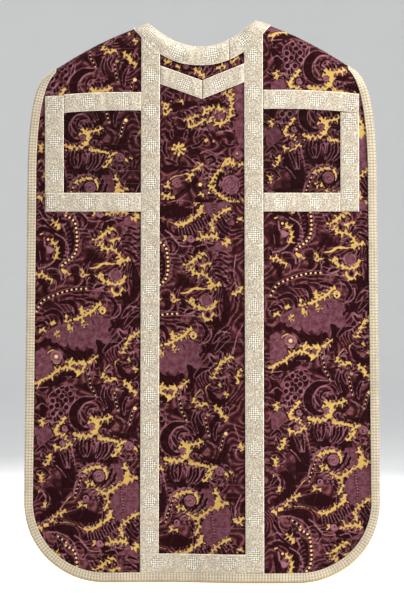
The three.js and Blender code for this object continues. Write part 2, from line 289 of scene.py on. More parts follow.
class Drape:
    """Out-of-plane waves of one panel, held as a grid that every layer reads."""

    def __init__(self, front):
        half = FRONT_HALF_WIDTH if front else HALF_WIDTH
        self.x = np.linspace(-half - 0.01, half + 0.01, 47)
        self.z = np.linspace(BACK_LINING_HEM - 0.01, 0.0, 75)
        grid_x, grid_z = np.meshgrid(self.x, self.z)
        wave = drape().wave
        swell = analytic_waves(grid_x, grid_z, front) * wave
        swell = 0.45 * swell + simulated(grid_x, grid_z, swell, front)
        self.height = np.clip(swell, -1.7 * wave, 1.7 * wave) * cut_fade(-grid_z / -BACK_HEM)

    def at(self, x, z):
        i = np.clip((x - self.x[0]) / (self.x[1] - self.x[0]), 0, len(self.x) - 1.001)
        j = np.clip((z - self.z[0]) / (self.z[1] - self.z[0]), 0, len(self.z) - 1.001)
        i0, j0 = i.astype(int), j.astype(int)
        u, v = i - i0, j - j0
        h = self.height
        return ((h[j0, i0] * (1 - u) + h[j0, i0 + 1] * u) * (1 - v)
                + (h[j0 + 1, i0] * (1 - u) + h[j0 + 1, i0 + 1] * u) * v)


def analytic_waves(x, z, front):
    """Shallow flutes that grow towards the hem, with a slight curl along the sides."""
    turn = 2.1 if front else 0.0
    fall = -z / -BACK_HEM
    flutes = (np.sin(x * 13.0 + turn + 1.3 * fall) + 0.6 * np.sin(x * 23.0 - 2.0 * fall + turn)
              + 0.4 * np.sin(z * 9.0 + x * 7.0 + turn))
    curl = 1.4 * smooth(0.25, 0.35, np.abs(x)) * np.sin(z * 6.0 + 2.0 * np.sign(x) + turn)
    return 0.55 * flutes + 0.5 * curl


def simulated(grid_x, grid_z, start, front):
    """Hangs a stiff sheet from its shoulders by Blender's cloth and returns how far it swings."""
    rows, columns = grid_x.shape
    mesh, u, v = new_grid("hanging panel", columns - 1, rows - 1)
    i = np.rint(u * (columns - 1)).astype(int)
    j = np.rint(v * (rows - 1)).astype(int)
    drawn_in = 0.988
    place(mesh, np.stack([grid_x[j, i] * drawn_in, start[j, i], grid_z[j, i]], -1))
    sheet = bpy.data.objects.new("hanging panel", mesh)
    bpy.context.scene.collection.objects.link(sheet)
    held = sheet.vertex_groups.new(name="held")
    held.add([int(k) for k in np.flatnonzero(j == rows - 1)], 1.0, "REPLACE")
    cloth = sheet.modifiers.new("Cloth", "CLOTH")
    cloth.settings.quality = 6
    cloth.settings.mass = 0.6
    cloth.settings.bending_stiffness = 4.0
    cloth.settings.shrink_min = -0.012
    cloth.settings.vertex_group_mass = "held"
    cloth.point_cache.frame_start, cloth.point_cache.frame_end = 1, 40
    for frame_number in range(1, 41):
        bpy.context.scene.frame_set(frame_number)
    hung = sheet.evaluated_get(bpy.context.evaluated_depsgraph_get()).to_mesh()
    places = np.empty(len(hung.vertices) * 3, np.float32)
    hung.vertices.foreach_get("co", places)
    swing = np.zeros((rows, columns))
    swing[j, i] = places.reshape(-1, 3)[:, 1]
    bpy.data.objects.remove(sheet)
    bpy.data.meshes.remove(mesh)
    bpy.context.scene.frame_set(1)
    return swing


def cut_fade(fall):
    return smooth(0.06, 0.75, fall)


DRAPES = {}


def neck_roll(x, z, run):
    """How far the layers lean in where the back neckline rolls over."""
    reach, lean = 0.024, 0.010
    share = np.clip(1 - (neckline(x) - z) / reach, 0, 1.2)
    inside = smooth(cut().neck_half, 0.6 * cut().neck_half, np.abs(x))
    return np.where(run < FOLD * math.pi / 2, lean * share**2 * inside, 0)


def hang(x, run, r, out=0.0):
    """Places cloth from its cut: x across, run along the cloth, r the layer's distance out."""
    if not DRAPES:
        DRAPES["back"] = Drape(False)
        DRAPES["front"] = Drape(True)
    radius = r + out
    angle = np.clip(run / r, 0, math.pi)
    behind, ahead = np.minimum(run, 0), np.maximum(run - math.pi * r, 0)
    y = -radius * np.cos(angle)
    z = spring(x) + radius * np.sin(angle) + behind - ahead
    y = y - np.where(run < 0, DRAPES["back"].at(x, z), 0) + np.where(
        run > math.pi * r, DRAPES["front"].at(x, z), 0)
    y = y + neck_roll(x, z, run)
    z = z + drape().tilt * np.clip(x, -0.12, 0.12) * smooth(-0.30, -0.05, z)
    return np.stack([x, y, z], -1)


# ---- Cloth meshes ---------------------------------------------------------------------------

def new_grid(name, columns, rows):
    """A flat sheet of columns by rows cells, with its vertices numbered row by row."""
    mesh = bpy.data.meshes.new(name)
    bm = bmesh.new()
    bmesh.ops.create_grid(bm, x_segments=columns, y_segments=rows, size=0.5,
                          matrix=Matrix.Translation((0.5, 0.5, 0)))
    bm.to_mesh(mesh)
    bm.free()
    places = np.empty(len(mesh.vertices) * 3, np.float32)
    mesh.vertices.foreach_get("co", places)
    places = places.reshape(-1, 3)
    return mesh, places[:, 0].astype(float), places[:, 1].astype(float)


def write_uv(mesh, name, u, v):
    layer = mesh.uv_layers.new(name=name)
    index = np.empty(len(mesh.loops), np.int32)
    mesh.loops.foreach_get("vertex_index", index)
    layer.data.foreach_set("uv", np.stack([u[index], v[index]], 1).astype(np.float32).ravel())


def write_attribute(mesh, name, values):
    attribute = mesh.attributes.new(name, "FLOAT", "POINT")
    attribute.data.foreach_set("value", values.astype(np.float32))


def sheet_area(columns, rows, u, v, across, along):
    """Flat area of a sheet from its cut."""
    order = np.lexsort((u, v))
    a = across[order].reshape(rows + 1, columns + 1)
    b = along[order].reshape(rows + 1, columns + 1)
    ax, bx = a[1:, 1:] - a[:-1, :-1], b[1:, 1:] - b[:-1, :-1]
    ay, by = a[1:, :-1] - a[:-1, 1:], b[1:, :-1] - b[:-1, 1:]
    return float(np.abs(ax * by - bx * ay).sum() / 2)


def face_outwards(mesh, face):
    """Turns a cloth over if this face of it looks into the garment."""
    if face.normal.y * face.center.y < 0:
        mesh.flip_normals()
    mesh.shade_smooth()


def finish_cloth(mesh, node, material, thickness=0.0, drop=None):
    """Makes the piece from its mesh, gives it its thickness and declares it."""
    piece = bpy.data.objects.new(mesh.name, mesh)
    bpy.context.scene.collection.objects.link(piece)
    mesh.materials.append(material)
    if drop is not None:
        bm = bmesh.new()
        bm.from_mesh(mesh)
        bm.faces.ensure_lookup_table()
        gone = [f for f in bm.faces if drop(f.calc_center_median())]
        bmesh.ops.delete(bm, geom=gone, context="FACES")
        bm.to_mesh(mesh)
        bm.free()
    if thickness:
        solid = piece.modifiers.new("Thickness", "SOLIDIFY")
        solid.thickness = thickness
        solid.offset = -1.0
    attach(piece, BODY)
    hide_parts(node)
    return piece


def cells(size, spacing):
    return max(1, int(round(size / spacing)))


def rows_by_arc(radius, length):
    """Rows set closer towards a hem, so that a round corner keeps even facets."""
    arc = radius * math.pi / 2
    share = arc / (arc + length - radius)

    def warp(v):
        turn = np.clip(v / share, 0, 1) * math.pi / 2
        rest = np.clip((v - share) / (1 - share), 0, 1)
        return (radius * (1 - np.cos(turn)) + (length - radius) * rest) / length
    return warp


def patch(name, left, right, low, high, spacing, radius=0.0):
    """A cloth between two sides and two ends.

    left and right give x for a run and an x; low and high give the run for an x."""
    middle = np.array([(left(np.array([-0.5]), np.array([0.0]))[0]
                        + right(np.array([-0.5]), np.array([0.0]))[0]) / 2])
    columns = cells(abs(right(np.array([-0.5]), middle)[0] - left(np.array([-0.5]), middle)[0]),
                    spacing)
    rows = cells(high(middle)[0] - low(middle)[0], spacing)
    mesh, u, v = new_grid(name, columns, rows)
    if radius:
        v = rows_by_arc(radius, high(middle)[0] - low(middle)[0])(v)
    x = np.full(u.shape, middle[0])
    for _ in range(6):
        run = low(x) + (high(x) - low(x)) * v
        x = left(run, x) + (right(run, x) - left(run, x)) * u
    run = low(x) + (high(x) - low(x)) * v
    return mesh, u, v, x, run, columns, rows


def place(mesh, points):
    mesh.vertices.foreach_set("co", points.astype(np.float32).ravel())
    mesh.update()


def as_heights(points):
    """A path of (x, run) as (x, height in the unfolded cut)."""
    return np.stack([points[:, 0], flat_height(points[:, 0], points[:, 1])], 1)


def strip(name, node, material, inner, outer, r, spacing, flat_width,
          out=None, thickness=0.0009):
    """A braid between two paths of (x, run), with its length along U and its width along V."""
    inner, outer = as_heights(inner), as_heights(outer)
    middle = (inner + outer) / 2
    steps = np.hypot(*np.diff(middle, axis=0).T)
    along = np.concatenate([[0], np.cumsum(steps)])
    total = along[-1]
    columns, rows = cells(total, spacing), cells(flat_width, spacing * 0.75)
    mesh, u, v = new_grid(name, columns, rows)
    at = u * total
    a, b, m = (np.stack([np.interp(at, along, p[:, k]) for k in (0, 1)], 1)
               for p in (inner, outer, middle))
    cloth = a + (b - a) * v[:, None]
    ahead, behind = (np.stack([np.interp(np.clip(at + d, 0, total), along, middle[:, k])
                               for k in (0, 1)], 1) for d in (0.004, -0.004))
    way = (ahead - behind) / np.hypot(*(ahead - behind).T)[:, None]
    slant = ((cloth - m) * way).sum(1)
    cloth[:, 1] -= spring(cloth[:, 0])
    ends = smooth(0, 0.006, np.minimum(at, total - at))
    lift = out(at, v, cloth) * ends if out else 0.0
    place(mesh, hang(cloth[:, 0], cloth[:, 1], r, lift))
    write_uv(mesh, "Braid", at + slant, v * flat_width)
    note_stitches(a, b, at, total, r, "front" in node)
    face_outwards(mesh, mesh.polygons[len(mesh.polygons) // 2])
    return finish_cloth(mesh, node, material,
                        thickness)


SEWN = {"back": [], "front": []}
STITCH_PITCH, STITCH_LONG, STITCH_THICK = 0.0075, 0.0034, 0.0005


def note_stitches(inner, outer, at, total, r, front):
    """Notes where the running stitches lie along both edges of a braid."""
    order = np.argsort(at, kind="stable")
    count = cells(total, STITCH_PITCH)
    for share in (0.05, 0.95):
        line = (inner + (outer - inner) * share)[order]
        for middle in (np.arange(count) + 0.5) * total / count:
            ends = [[np.interp(middle + d * STITCH_LONG / 2, at[order], line[:, k])
                     for k in (0, 1)] for d in (-1, 1)]
            x, height = np.array(ends).T
            SEWN["front" if front else "back"].append(hang(x, height - spring(x), r, 0.0002))


def stitching():
    """Running stitches that hold the galloons down, one piece for each panel."""
    for panel, nodes in (("back", BACK_GALLOONS), ("front", FRONT_GALLOONS)):
        mesh = bpy.data.meshes.new(f"stitches_{panel}")
        bm = bmesh.new()
        for start, end in SEWN[panel]:
            along = Vector(end - start)
            turn = along.to_track_quat("X", "Z").to_matrix().to_4x4()
            size = Matrix.Diagonal((along.length, STITCH_THICK, STITCH_THICK, 1.0))
            place_at = Matrix.Translation(Vector((start + end) / 2))
            bmesh.ops.create_cube(bm, size=1.0, matrix=place_at @ turn @ size)
        bm.to_mesh(mesh)
        bm.free()
        mesh.materials.append(material("thread"))
        piece = bpy.data.objects.new(mesh.name, mesh)
        bpy.context.scene.collection.objects.link(piece)
        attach(piece, BODY)
        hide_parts(*nodes)


def path(x, z, r, front=False):
    x, z = np.broadcast_arrays(np.asarray(x, float), np.asarray(z, float))
    run = front_run(x, z, r) if front else back_run(x, z, r)
    return np.stack([x, run], 1)


def mirrored(points):
    return points * np.array([-1.0, 1.0])


# ---- Shading helpers ------------------------------------------------------------------------

class Shader:
    """A material's node tree, built one node at a time."""

    def __init__(self, name, **fixed):
        self.material = bpy.data.materials.new(name)
        self.material.use_nodes = True
        self.tree = self.material.node_tree
        self.surface = self.tree.nodes["Principled BSDF"]
        for socket, value in fixed.items():
            self.surface.inputs[socket.replace("_", " ")].default_value = value

    def node(self, kind, inputs=None, **settings):
        made = self.tree.nodes.new("ShaderNode" + kind)
        for key, value in settings.items():
            setattr(made, key, value)
        for key, value in (inputs or {}).items():
            self.feed(made.inputs[key], value)
        return made

    def feed(self, socket, value):
        if isinstance(value, bpy.types.NodeSocket):
            self.tree.links.new(value, socket)
        elif isinstance(value, bpy.types.Node):
            self.tree.links.new(value.outputs[0], socket)
        else:
            socket.default_value = value

    def maths(self, operation, a, b=0.0):
        return self.node("Math", {0: a, 1: b}, operation=operation).outputs[0]

    def times(self, a, b):
        return self.maths("MULTIPLY", a, b)

    def plus(self, a, b):
        return self.maths("ADD", a, b)

    def ripple(self, value, period):
        return self.maths("SINE", self.times(value, 2 * math.pi / period))

    def relief(self, first, *others):
        """Heights added up, each given with its share."""
        total = self.times(*first)
        for other in others:
            total = self.plus(total, self.times(*other))
        return total

    def ramp(self, value, low, high, to_low=0.0, to_high=1.0):
        return self.node("MapRange", {0: value, 1: low, 2: high, 3: to_low, 4: to_high},
                         interpolation_type="SMOOTHSTEP").outputs[0]

    def mix(self, share, a, b):
        made = self.node("Mix", data_type="RGBA")
        self.feed(made.inputs[0], share)
        self.feed(made.inputs[6], rgba(a))
        self.feed(made.inputs[7], rgba(b))
        return made.outputs[2]

    def noise(self, vector, scale, detail=2.0, rough=0.5):
        return self.node("TexNoise", {"Vector": vector, "Scale": scale, "Detail": detail,
                                      "Roughness": rough}).outputs[0]

    def attribute(self, name):
        return self.node("Attribute", attribute_name=name, attribute_type="GEOMETRY").outputs["Fac"]

    def uv(self, name):
        return self.node("UVMap", uv_map=name).outputs[0]

    def split(self, vector):
        made = self.node("SeparateXYZ", {0: vector})
        return made.outputs[0], made.outputs[1]

    def bump(self, height, distance, strength=1.0):
        made = self.node("Bump", {"Height": height, "Distance": distance, "Strength": strength})
        self.feed(self.surface.inputs["Normal"], made.outputs[0])

    def set(self, socket, value):
        self.feed(self.surface.inputs[socket], value)


def rgba(value):
    if isinstance(value, (bpy.types.NodeSocket, bpy.types.Node)):
        return value
    return (*tuple(value)[:3], 1.0)


MATERIALS = {}


def material(name):
    """Each finish is made once, when a cloth first asks for it."""
    makers = {
        "velvet": velvet_finish,
        "galloon": galloon_finish,
        "edging": edging_finish,
        "lining": lining_finish,
        "linen": linen_finish,
        "thread": thread_finish,
    }
    if name not in MATERIALS:
        MATERIALS[name] = makers[name]()
    return MATERIALS[name]


def flowing_veins(s, cloth, mottle):
    """Dark hollows in flowing lines, and the fine veins between them."""
    swell = s.ripple(s.noise(cloth, 13.0, 1.0, 0.4), 1 / 16)
    strand = s.times(s.ramp(swell, 0.42, 0.92), s.ramp(mottle, 0.36, 0.56))
    # the first value is painted shade where the flowing lines dip; the second is the veins
    return s.ramp(swell, -0.9, -0.1, 0.75, 0.0), strand


def silk_ground(s, ribs, patchy, laid):
    """Mustard silk, browner where pile closes over it."""
    silk = s.mix(s.ramp(ribs, -1, 1, 0.0, 0.30), colours().ground, (0.36, 0.22, 0.04))
    silk = s.mix(s.ramp(patchy, 0.3, 0.8, 0.0, 0.35), silk, (0.62, 0.47, 0.15))
    # browner where the ground's cover thins at its edges: pile fibres over the silk, and painted shade
    # from the pile beside it
    return s.mix(s.ramp(laid, 0.45, 0.85, 0.75, 0.0), silk, (0.33, 0.165, 0.085))


def bare_picks(s, cloth, along):
    """Picks of weft that worn pile leaves bare."""
    picks = s.noise(s.node("CombineXYZ", {1: along}).outputs[0], 210.0, 1.0)
    return s.times(s.ramp(picks, 0.66, 0.70), s.ramp(s.noise(cloth, 8.0), 0.48, 0.58))


def velvet_finish():
    """Cut pile, uncut loops and silk ground, told apart by the design's attributes."""
    c = colours()
    s = Shader("figured velvet", Roughness=0.8, Sheen_Weight=0.04, Sheen_Roughness=0.5)
    s.surface.inputs["Sheen Tint"].default_value = (0.60, 0.16, 0.20, 1.0)
    s.surface.inputs["Specular IOR Level"].default_value = 0.05
    cloth = s.uv("Bolt")
    across, along = s.split(cloth)
    pile = s.ramp(s.attribute("pile"), 0.25, 0.75)
    loop = s.ramp(s.attribute("loop"), 0.25, 0.70)
    fresh = s.attribute("fresh")  # deeper pile and less bare ground, in the cross arms
    laid = s.maths("SUBTRACT", s.attribute("gold"), s.times(fresh, 0.13))
    gold = s.ramp(laid, 0.32, 0.57)
    bead = s.ramp(s.attribute("bead"), 0.30, 0.70)
    ribs = s.ripple(along, 0.0011)
    weft = s.ripple(across, 0.0012)
    patchy = s.noise(cloth, 22.0, 4.0)
    nap = s.noise(cloth, 420.0, 3.0, 0.7)
    mottle = s.noise(cloth, 95.0, 3.0, 0.6)
    field = s.mix(s.ramp(mottle, 0.42, 0.70), c.pile_dark, c.pile_mid)
    field = s.mix(s.ramp(patchy, 0.35, 0.75, 0.0, 0.45), field, (0.105, 0.027, 0.032))
    tone = s.mix(pile, field, c.pile_dark)
    wear = s.times(s.ramp(patchy, 0.55, 0.8), s.ramp(mottle, 0.5, 0.75))
    tone = s.mix(s.times(wear, 0.35), tone, (0.15, 0.060, 0.045))
    loops = s.mix(s.ramp(ribs, -0.8, 0.8, 0.0, 0.35), c.loop, (0.13, 0.042, 0.055))
    loops = s.mix(s.ramp(mottle, 0.45, 0.65, 0.0, 0.55), loops, (0.095, 0.026, 0.034))
    painted_hollow_shade, strand = flowing_veins(s, cloth, mottle)
    # painted shade: the field darkened to the cut pile's colour in the flowing hollows
    tone = s.mix(painted_hollow_shade, tone, c.pile_dark)
    shown = s.times(strand, s.ramp(pile, 0.0, 1.0, 0.80, 0.06))
    tone = s.mix(shown, tone, (0.155, 0.052, 0.057))
    leaf = s.ramp(s.attribute("leaf"), 0.3, 0.7)
    leaves = s.mix(s.ramp(mottle, 0.35, 0.7), c.leaf, (0.070, 0.018, 0.022))
    leaves = s.mix(s.times(strand, 0.55), leaves, (0.060, 0.013, 0.020))
    tone = s.mix(leaf, tone, leaves)
    tone = s.mix(loop, tone, loops)
    tone = s.mix(s.times(fresh, 0.34), tone, (0.004, 0.001, 0.001))
    tone = s.mix(gold, tone, silk_ground(s, ribs, patchy, laid))
    tone = s.mix(bead, tone, s.mix(s.ramp(nap, 0.4, 0.6), c.bead, (0.66, 0.45, 0.22)))
    tone = s.mix(s.times(bare_picks(s, cloth, along), 0.45), tone, (0.25, 0.12, 0.085))
    s.set("Base Color", tone)
    s.set("Roughness", s.ramp(gold, 0.0, 1.0, 0.82, 0.48))
    s.bump(s.relief((pile, 0.55), (loop, 0.45), (nap, 0.35), (strand, 0.20),
                    (s.times(ribs, weft), 0.06)), 0.0012, 0.7)
    return s.material


CHECK = 760.0  # radians a metre, for checks 2.1 mm wide
BRAID_REPEAT = 0.070


def galloon_finish():
    """Silver lace: lozenge blocks and scrolled blocks by turns, between fine selvedges."""
    c = colours()
    s = Shader("silver galloon", Metallic=0.25, Roughness=0.5, Sheen_Weight=0.15)
    cloth = s.uv("Braid")
    along, across = s.split(cloth)
    middle = s.maths("ABSOLUTE", s.maths("SUBTRACT", across, WIDE / 2))
    phase = s.maths("FRACT", s.maths("DIVIDE", along, BRAID_REPEAT))
    swing = s.maths("ABSOLUTE", s.maths("SUBTRACT", phase, 0.5))
    reach = s.plus(s.times(swing, 2.0), s.maths("DIVIDE", middle, WIDE * 0.75))
    lozenge = s.ramp(reach, 0.52, 0.60, 1.0, 0.0)
    check = s.times(s.maths("SINE", s.times(s.plus(along, across), CHECK)),
                    s.maths("SINE", s.times(s.maths("SUBTRACT", along, across), CHECK)))
    curls = s.node("TexVoronoi", {"Vector": cloth, "Scale": 125.0}, feature="SMOOTH_F1",
                   distance="EUCLIDEAN").outputs[0]
    scroll = s.ramp(s.maths("SINE", s.times(curls, 26.0)), -0.4, 0.6)
    selvedge = s.ramp(middle, WIDE * 0.455, WIDE * 0.475)
    threads = s.ripple(along, 0.0009)
    dirt = s.noise(cloth, 30.0, 4.0, 0.6)
    fine = s.noise(cloth, 900.0, 2.0, 0.7)
    dark = (0.110, 0.090, 0.066)
    pale = (0.74, 0.67, 0.53)
    block = s.mix(s.ramp(check, -0.35, 0.35), dark, pale)
    leaf = s.mix(s.times(scroll, 0.60), c.silver, (0.190, 0.145, 0.095))
    stretched = s.node("CombineXYZ", {0: s.times(along, 9.0), 1: across}).outputs[0]
    bands = s.noise(stretched, 14.0, 3.0, 0.65)
    leaf = s.mix(s.ramp(bands, 0.42, 0.72, 0.0, 0.60), leaf, (0.230, 0.185, 0.125))
    tone = s.mix(lozenge, leaf, block)
    line = s.times(s.ramp(reach, 0.50, 0.56), s.ramp(reach, 0.60, 0.68, 1.0, 0.0))
    tone = s.mix(s.times(line, 0.6), tone, (0.240, 0.195, 0.140))
    tone = s.mix(s.times(selvedge, 0.8), tone, pale)
    tone = s.mix(s.ramp(dirt, 0.40, 0.75, 0.0, 0.50), tone, (0.215, 0.165, 0.105))
    # painted highlight: pale specks where the fine noise is high stand in for the silver thread's sparkle
    tone = s.mix(s.ramp(fine, 0.50, 0.75, 0.0, 0.55), tone, (0.84, 0.80, 0.70))
    # painted highlight and painted shade: bright glints of the silver thread where this noise is high,
    # darker specks between them where it is low
    painted_glint_and_shade = s.noise(cloth, 330.0, 2.0, 0.6)
    tone = s.mix(s.ramp(painted_glint_and_shade, 0.52, 0.70, 0.0, 0.48), tone, (0.92, 0.88, 0.79))
    tone = s.mix(s.ramp(painted_glint_and_shade, 0.30, 0.52, 0.65, 0.0), tone, (0.205, 0.160, 0.110))
    s.set("Base Color", tone)
    s.set("Roughness", s.ramp(dirt, 0.3, 0.8, 0.40, 0.68))
    s.bump(s.relief((check, s.times(lozenge, 0.35)), (scroll, 0.3), (threads, 0.10),
                    (selvedge, 0.4), (fine, 0.3)), 0.0007, 0.8)
    return s.material


def edging_finish():
    """Narrow braid: crosswise ribs, a line along its middle and looped selvedges."""
    c = colours()
    s = Shader("edge galloon", Metallic=0.15, Roughness=0.6, Sheen_Weight=0.15)
    cloth = s.uv("Braid")
    along, across = s.split(cloth)
    ribs = s.ripple(along, 0.0058)
    threads = s.ripple(along, 0.0012)
    lines = s.ripple(across, 0.0057)
    dirt = s.noise(cloth, 26.0, 4.0, 0.6)
    fine = s.noise(cloth, 800.0, 2.0, 0.7)
    tone = s.mix(s.ramp(ribs, -0.9, 0.2), (0.235, 0.185, 0.12), c.edging)
    tone = s.mix(s.ramp(lines, 0.5, 0.95, 0.0, 0.45), tone, (0.60, 0.53, 0.41))
    tone = s.mix(s.ramp(dirt, 0.4, 0.75, 0.0, 0.5), tone, (0.24, 0.185, 0.12))
    tone = s.mix(s.ramp(fine, 0.45, 0.7, 0.0, 0.4), tone, (0.66, 0.59, 0.47))
    s.set("Base Color", tone)
    s.bump(s.relief((ribs, 0.4), (lines, 0.25), (threads, 0.12), (fine, 0.3)), 0.0007, 0.8)
    return s.material


def lining_finish():
    """Mustard silk with a fine tabby weave, slubs and faded patches."""
    c = colours()
    s = Shader("silk lining", Roughness=0.45, Sheen_Weight=0.25)
    cloth = s.uv("Bolt")
    across, along = s.split(cloth)
    warp = s.ripple(across, 0.0008)
    weft = s.ripple(along, 0.0009)
    squeezed = s.node("Mapping", {"Vector": cloth, "Scale": (14.0, 420.0, 1.0)})
    slub = s.noise(squeezed, 1.0, 2.0)
    fade = s.noise(cloth, 5.0, 3.0)
    tone = s.mix(s.ramp(slub, 0.35, 0.75, 0.0, 0.45), c.lining, (0.66, 0.46, 0.15))
    tone = s.mix(s.ramp(fade, 0.4, 0.75, 0.0, 0.5), tone, (0.44, 0.27, 0.06))
    s.set("Base Color", tone)
    s.set("Roughness", s.ramp(slub, 0.3, 0.8, 0.38, 0.6))
    s.bump(s.relief((s.times(warp, weft), 0.3), (slub, 0.6)), 0.0004, 0.7)
    return s.material


def thread_finish():
    """Waxed silk thread, a little darker where it has picked up dirt."""
    s = Shader("sewing silk", Roughness=0.6)
    dirt = s.noise(s.node("TexCoord").outputs["Object"], 60.0, 2.0)
    s.set("Base Color", s.mix(s.ramp(dirt, 0.35, 0.7), (0.52, 0.44, 0.30), (0.30, 0.24, 0.16)))
    return s.material


def linen_finish():
    """Stiff unbleached linen with uneven threads."""
    c = colours()
    s = Shader("linen interlining", Roughness=0.9)
    cloth = s.uv("Bolt")
    across, along = s.split(cloth)
    warp = s.ripple(across, 0.0016)
    weft = s.ripple(along, 0.0017)
    uneven = s.noise(cloth, 160.0, 3.0)
    tone = s.mix(s.ramp(uneven, 0.35, 0.7), c.linen, (0.48, 0.41, 0.30))
    s.set("Base Color", tone)
    weave = s.plus(s.times(s.times(warp, weft), 0.4), uneven)
    s.bump(weave, 0.0006, 0.7)
    return s.material


# ---- The velvet's design ----------------------------------------------------------------------
#
# The bolt is drawn on a grid of one millimetre, in millimetres across and down the cloth, and
# repeats downwards. Each pen stroke lays one thread over what is there.

REPEAT = 650
BOLT_LEFT, BOLT_WIDE = -40, 515
THREADS = ("pile", "leaf", "loop", "gold", "bead")


class Bolt:
    def __init__(self):
        self.layers = {t: np.zeros((REPEAT, BOLT_WIDE), np.float32) for t in THREADS}

    def window(self, low, high):
        """Cells around a stroke, whose rows wrap round the repeat."""
        x0, y0 = np.floor(low).astype(int)
        x1, y1 = np.ceil(high).astype(int) + 1
        x0, x1 = max(x0, BOLT_LEFT), min(x1, BOLT_LEFT + BOLT_WIDE)
        if x1 <= x0 or y1 <= y0:
            return None
        xs, ys = np.arange(x0, x1), np.arange(y0, y1)
        return xs, ys, np.ix_(ys % REPEAT, xs - BOLT_LEFT)

    def lay(self, thread, cover, cells_at):
        """Lays one thread where cover is 1 and takes the others away there."""
        for name, layer in self.layers.items():
            old = layer[cells_at]
            layer[cells_at] = old * (1 - cover) + (cover if name == thread else 0)

    def stroke(self, thread, points, start, end=None, bulge=0.0):
        """A smooth pen line whose half width runs from start to end, swelling by bulge."""
        end = start if end is None else end
        line = smooth_line(points)
        share = np.linspace(0, 1, len(line))
        half = start + (end - start) * share + bulge * np.sin(np.pi * share)
        room = half.max() + 1.5
        found = self.window(line.min(0) - room, line.max(0) + room)
        if found is None:
            return
        xs, ys, cells_at = found
        gx, gy = np.meshgrid(xs, ys)
        gap = np.full(gx.shape, 1e9)
        for (px, py), h in zip(line, half):
            gap = np.minimum(gap, np.hypot(gx - px, gy - py) - h)
        self.lay(thread, np.clip(0.5 - gap, 0, 1).astype(np.float32), cells_at)


def smooth_line(points, step=1.2):
    """A curve through hand-set points, sampled every step."""
    p = np.array(points, float)
    if len(p) < 3:
        n = max(2, int(np.hypot(*(p[-1] - p[0])) / step))
        return p[0] + (p[-1] - p[0]) * np.linspace(0, 1, n)[:, None]
    ends = np.concatenate([[2 * p[0] - p[1]], p, [2 * p[-1] - p[-2]]])
    out = []
    for a, b, c, d in zip(ends, ends[1:], ends[2:], ends[3:]):
        n = max(2, int(np.hypot(*(c - b)) / step))
        t = (np.arange(n) / n)[:, None]
        out.append(0.5 * (2 * b + (c - a) * t + (2 * a - 5 * b + 4 * c - d) * t**2
                          + (3 * b - a - 3 * c + d) * t**3))
    return np.concatenate(out + [p[-1:]])


def along_line(points, count, margin=0.0):
    """Evenly spaced points on a curve, each with its direction."""
    line = smooth_line(points)
    steps = np.hypot(*np.diff(line, axis=0).T)
    total = np.concatenate([[0], np.cumsum(steps)])
    at = np.linspace(margin, 1 - margin, count) * total[-1]
    where = np.stack([np.interp(at, total, line[:, k]) for k in (0, 1)], 1)
    ahead = np.stack([np.interp(np.minimum(at + 2, total[-1]), total, line[:, k])
                      for k in (0, 1)], 1)
    behind = np.stack([np.interp(np.maximum(at - 2, 0), total, line[:, k]) for k in (0, 1)], 1)
    way = ahead - behind
    return where, way / np.maximum(np.hypot(*way.T), 1e-6)[:, None]


def spiral(centre, radius, start, turns, inner=0.25):
    """Points of a scroll that winds in to its eye. Negative turns wind the other way."""
    count = max(5, int(abs(turns) * 10))
    share = np.linspace(0, 1, count)
    angle = math.radians(start) + share * turns * 2 * math.pi
    size = radius * (1 - (1 - inner) * share)
    return [(centre[0] + r * math.cos(a), centre[1] + r * math.sin(a))
            for r, a in zip(size, angle)]


def outlined(bolt, points, start, end, bulge=0.0, rim=1.7):
    """A tongue of dark pile with a mauve outline."""
    bolt.stroke("loop", points, start + rim, end + rim, bulge)
    bolt.stroke("pile", points, start, end, bulge)


def barbs(bolt, points, count, reach, side, lean=0.45, thread="loop", half=0.9):
    """A comb of fine loops from a rib."""
    where, way = along_line(points, count, 0.03)
    for p, d in zip(where, way):
        out = side * np.array([-d[1], d[0]])
        bolt.stroke(thread, [p, p + out * reach * 0.55 + d * reach * lean * 0.3,
                             p + out * reach + d * reach * lean], half, half * 0.5)


def beads(bolt, points, count, half=2.0, thread="bead", rail=True):
    """A row of brocaded beads between two fine loops."""
    if rail:
        bolt.stroke("loop", points, half + 2.4)
        bolt.stroke("pile", points, half + 0.9)
    for p, _ in zip(*along_line(points, count)):
        bolt.stroke(thread, [p, p + np.array([0.1, 0.1])], half)


def blossom(bolt, centre, radius, petals, half=1.6, thread="gold", core="bead"):
    for i in range(petals):
        a = 2 * math.pi * i / petals
        tip = (centre[0] + radius * math.cos(a), centre[1] + radius * math.sin(a))
        root = (centre[0] + radius * 0.35 * math.cos(a), centre[1] + radius * 0.35 * math.sin(a))
        bolt.stroke(thread, [root, tip], half * 0.6, half)
    bolt.stroke(core, [centre, (centre[0] + 0.1, centre[1])], half * 0.9)


def pen_length(points):
    return float(np.hypot(*np.diff(smooth_line(points), axis=0).T).sum())


def crowd(bolt, points, half, lay):
    """Calls lay at an even pitch on both sides of a ground line."""
    count = int(pen_length(points) / LOBE_PITCH)
    if count < 1:
        return
    where, way = along_line(points, count, 0.5 / count)
    for i, (p, d) in enumerate(zip(where, way)):
        for side in (-1, 1):
            lay(bolt, p, d, side * np.array([-d[1], d[0]]), half, side, i)


def lay_lobe(bolt, p, d, out, half, side, i):
    """A leaf's lobe whose rounded end stops short of the ground line."""
    far = p + out * (half + 15) - d * 5.6
    middle = p + out * (half + 10) - d * 1.4
    near = p + out * (half + 4.4 + 1.2 * math.sin(1.7 * i + 2 * side)) + side * d * 2.1
    outlined(bolt, [far, middle, near], 1.4, 3.0, 0.5, 1.35)


def lay_tooth(bolt, p, d, out, half, side, i):
    """A tooth of ground that runs up between two lobes."""
    reach = half + 7.2 + 3.4 * math.sin(2.3 * i + side)
    start = p + side * d * 2.1
    bolt.stroke("gold", [start, start + out * reach * 0.55, start + out * reach - d * 3.0], 2.0, 0.5)


def dot(point):
    return [point, (point[0] + 0.1, point[1])]


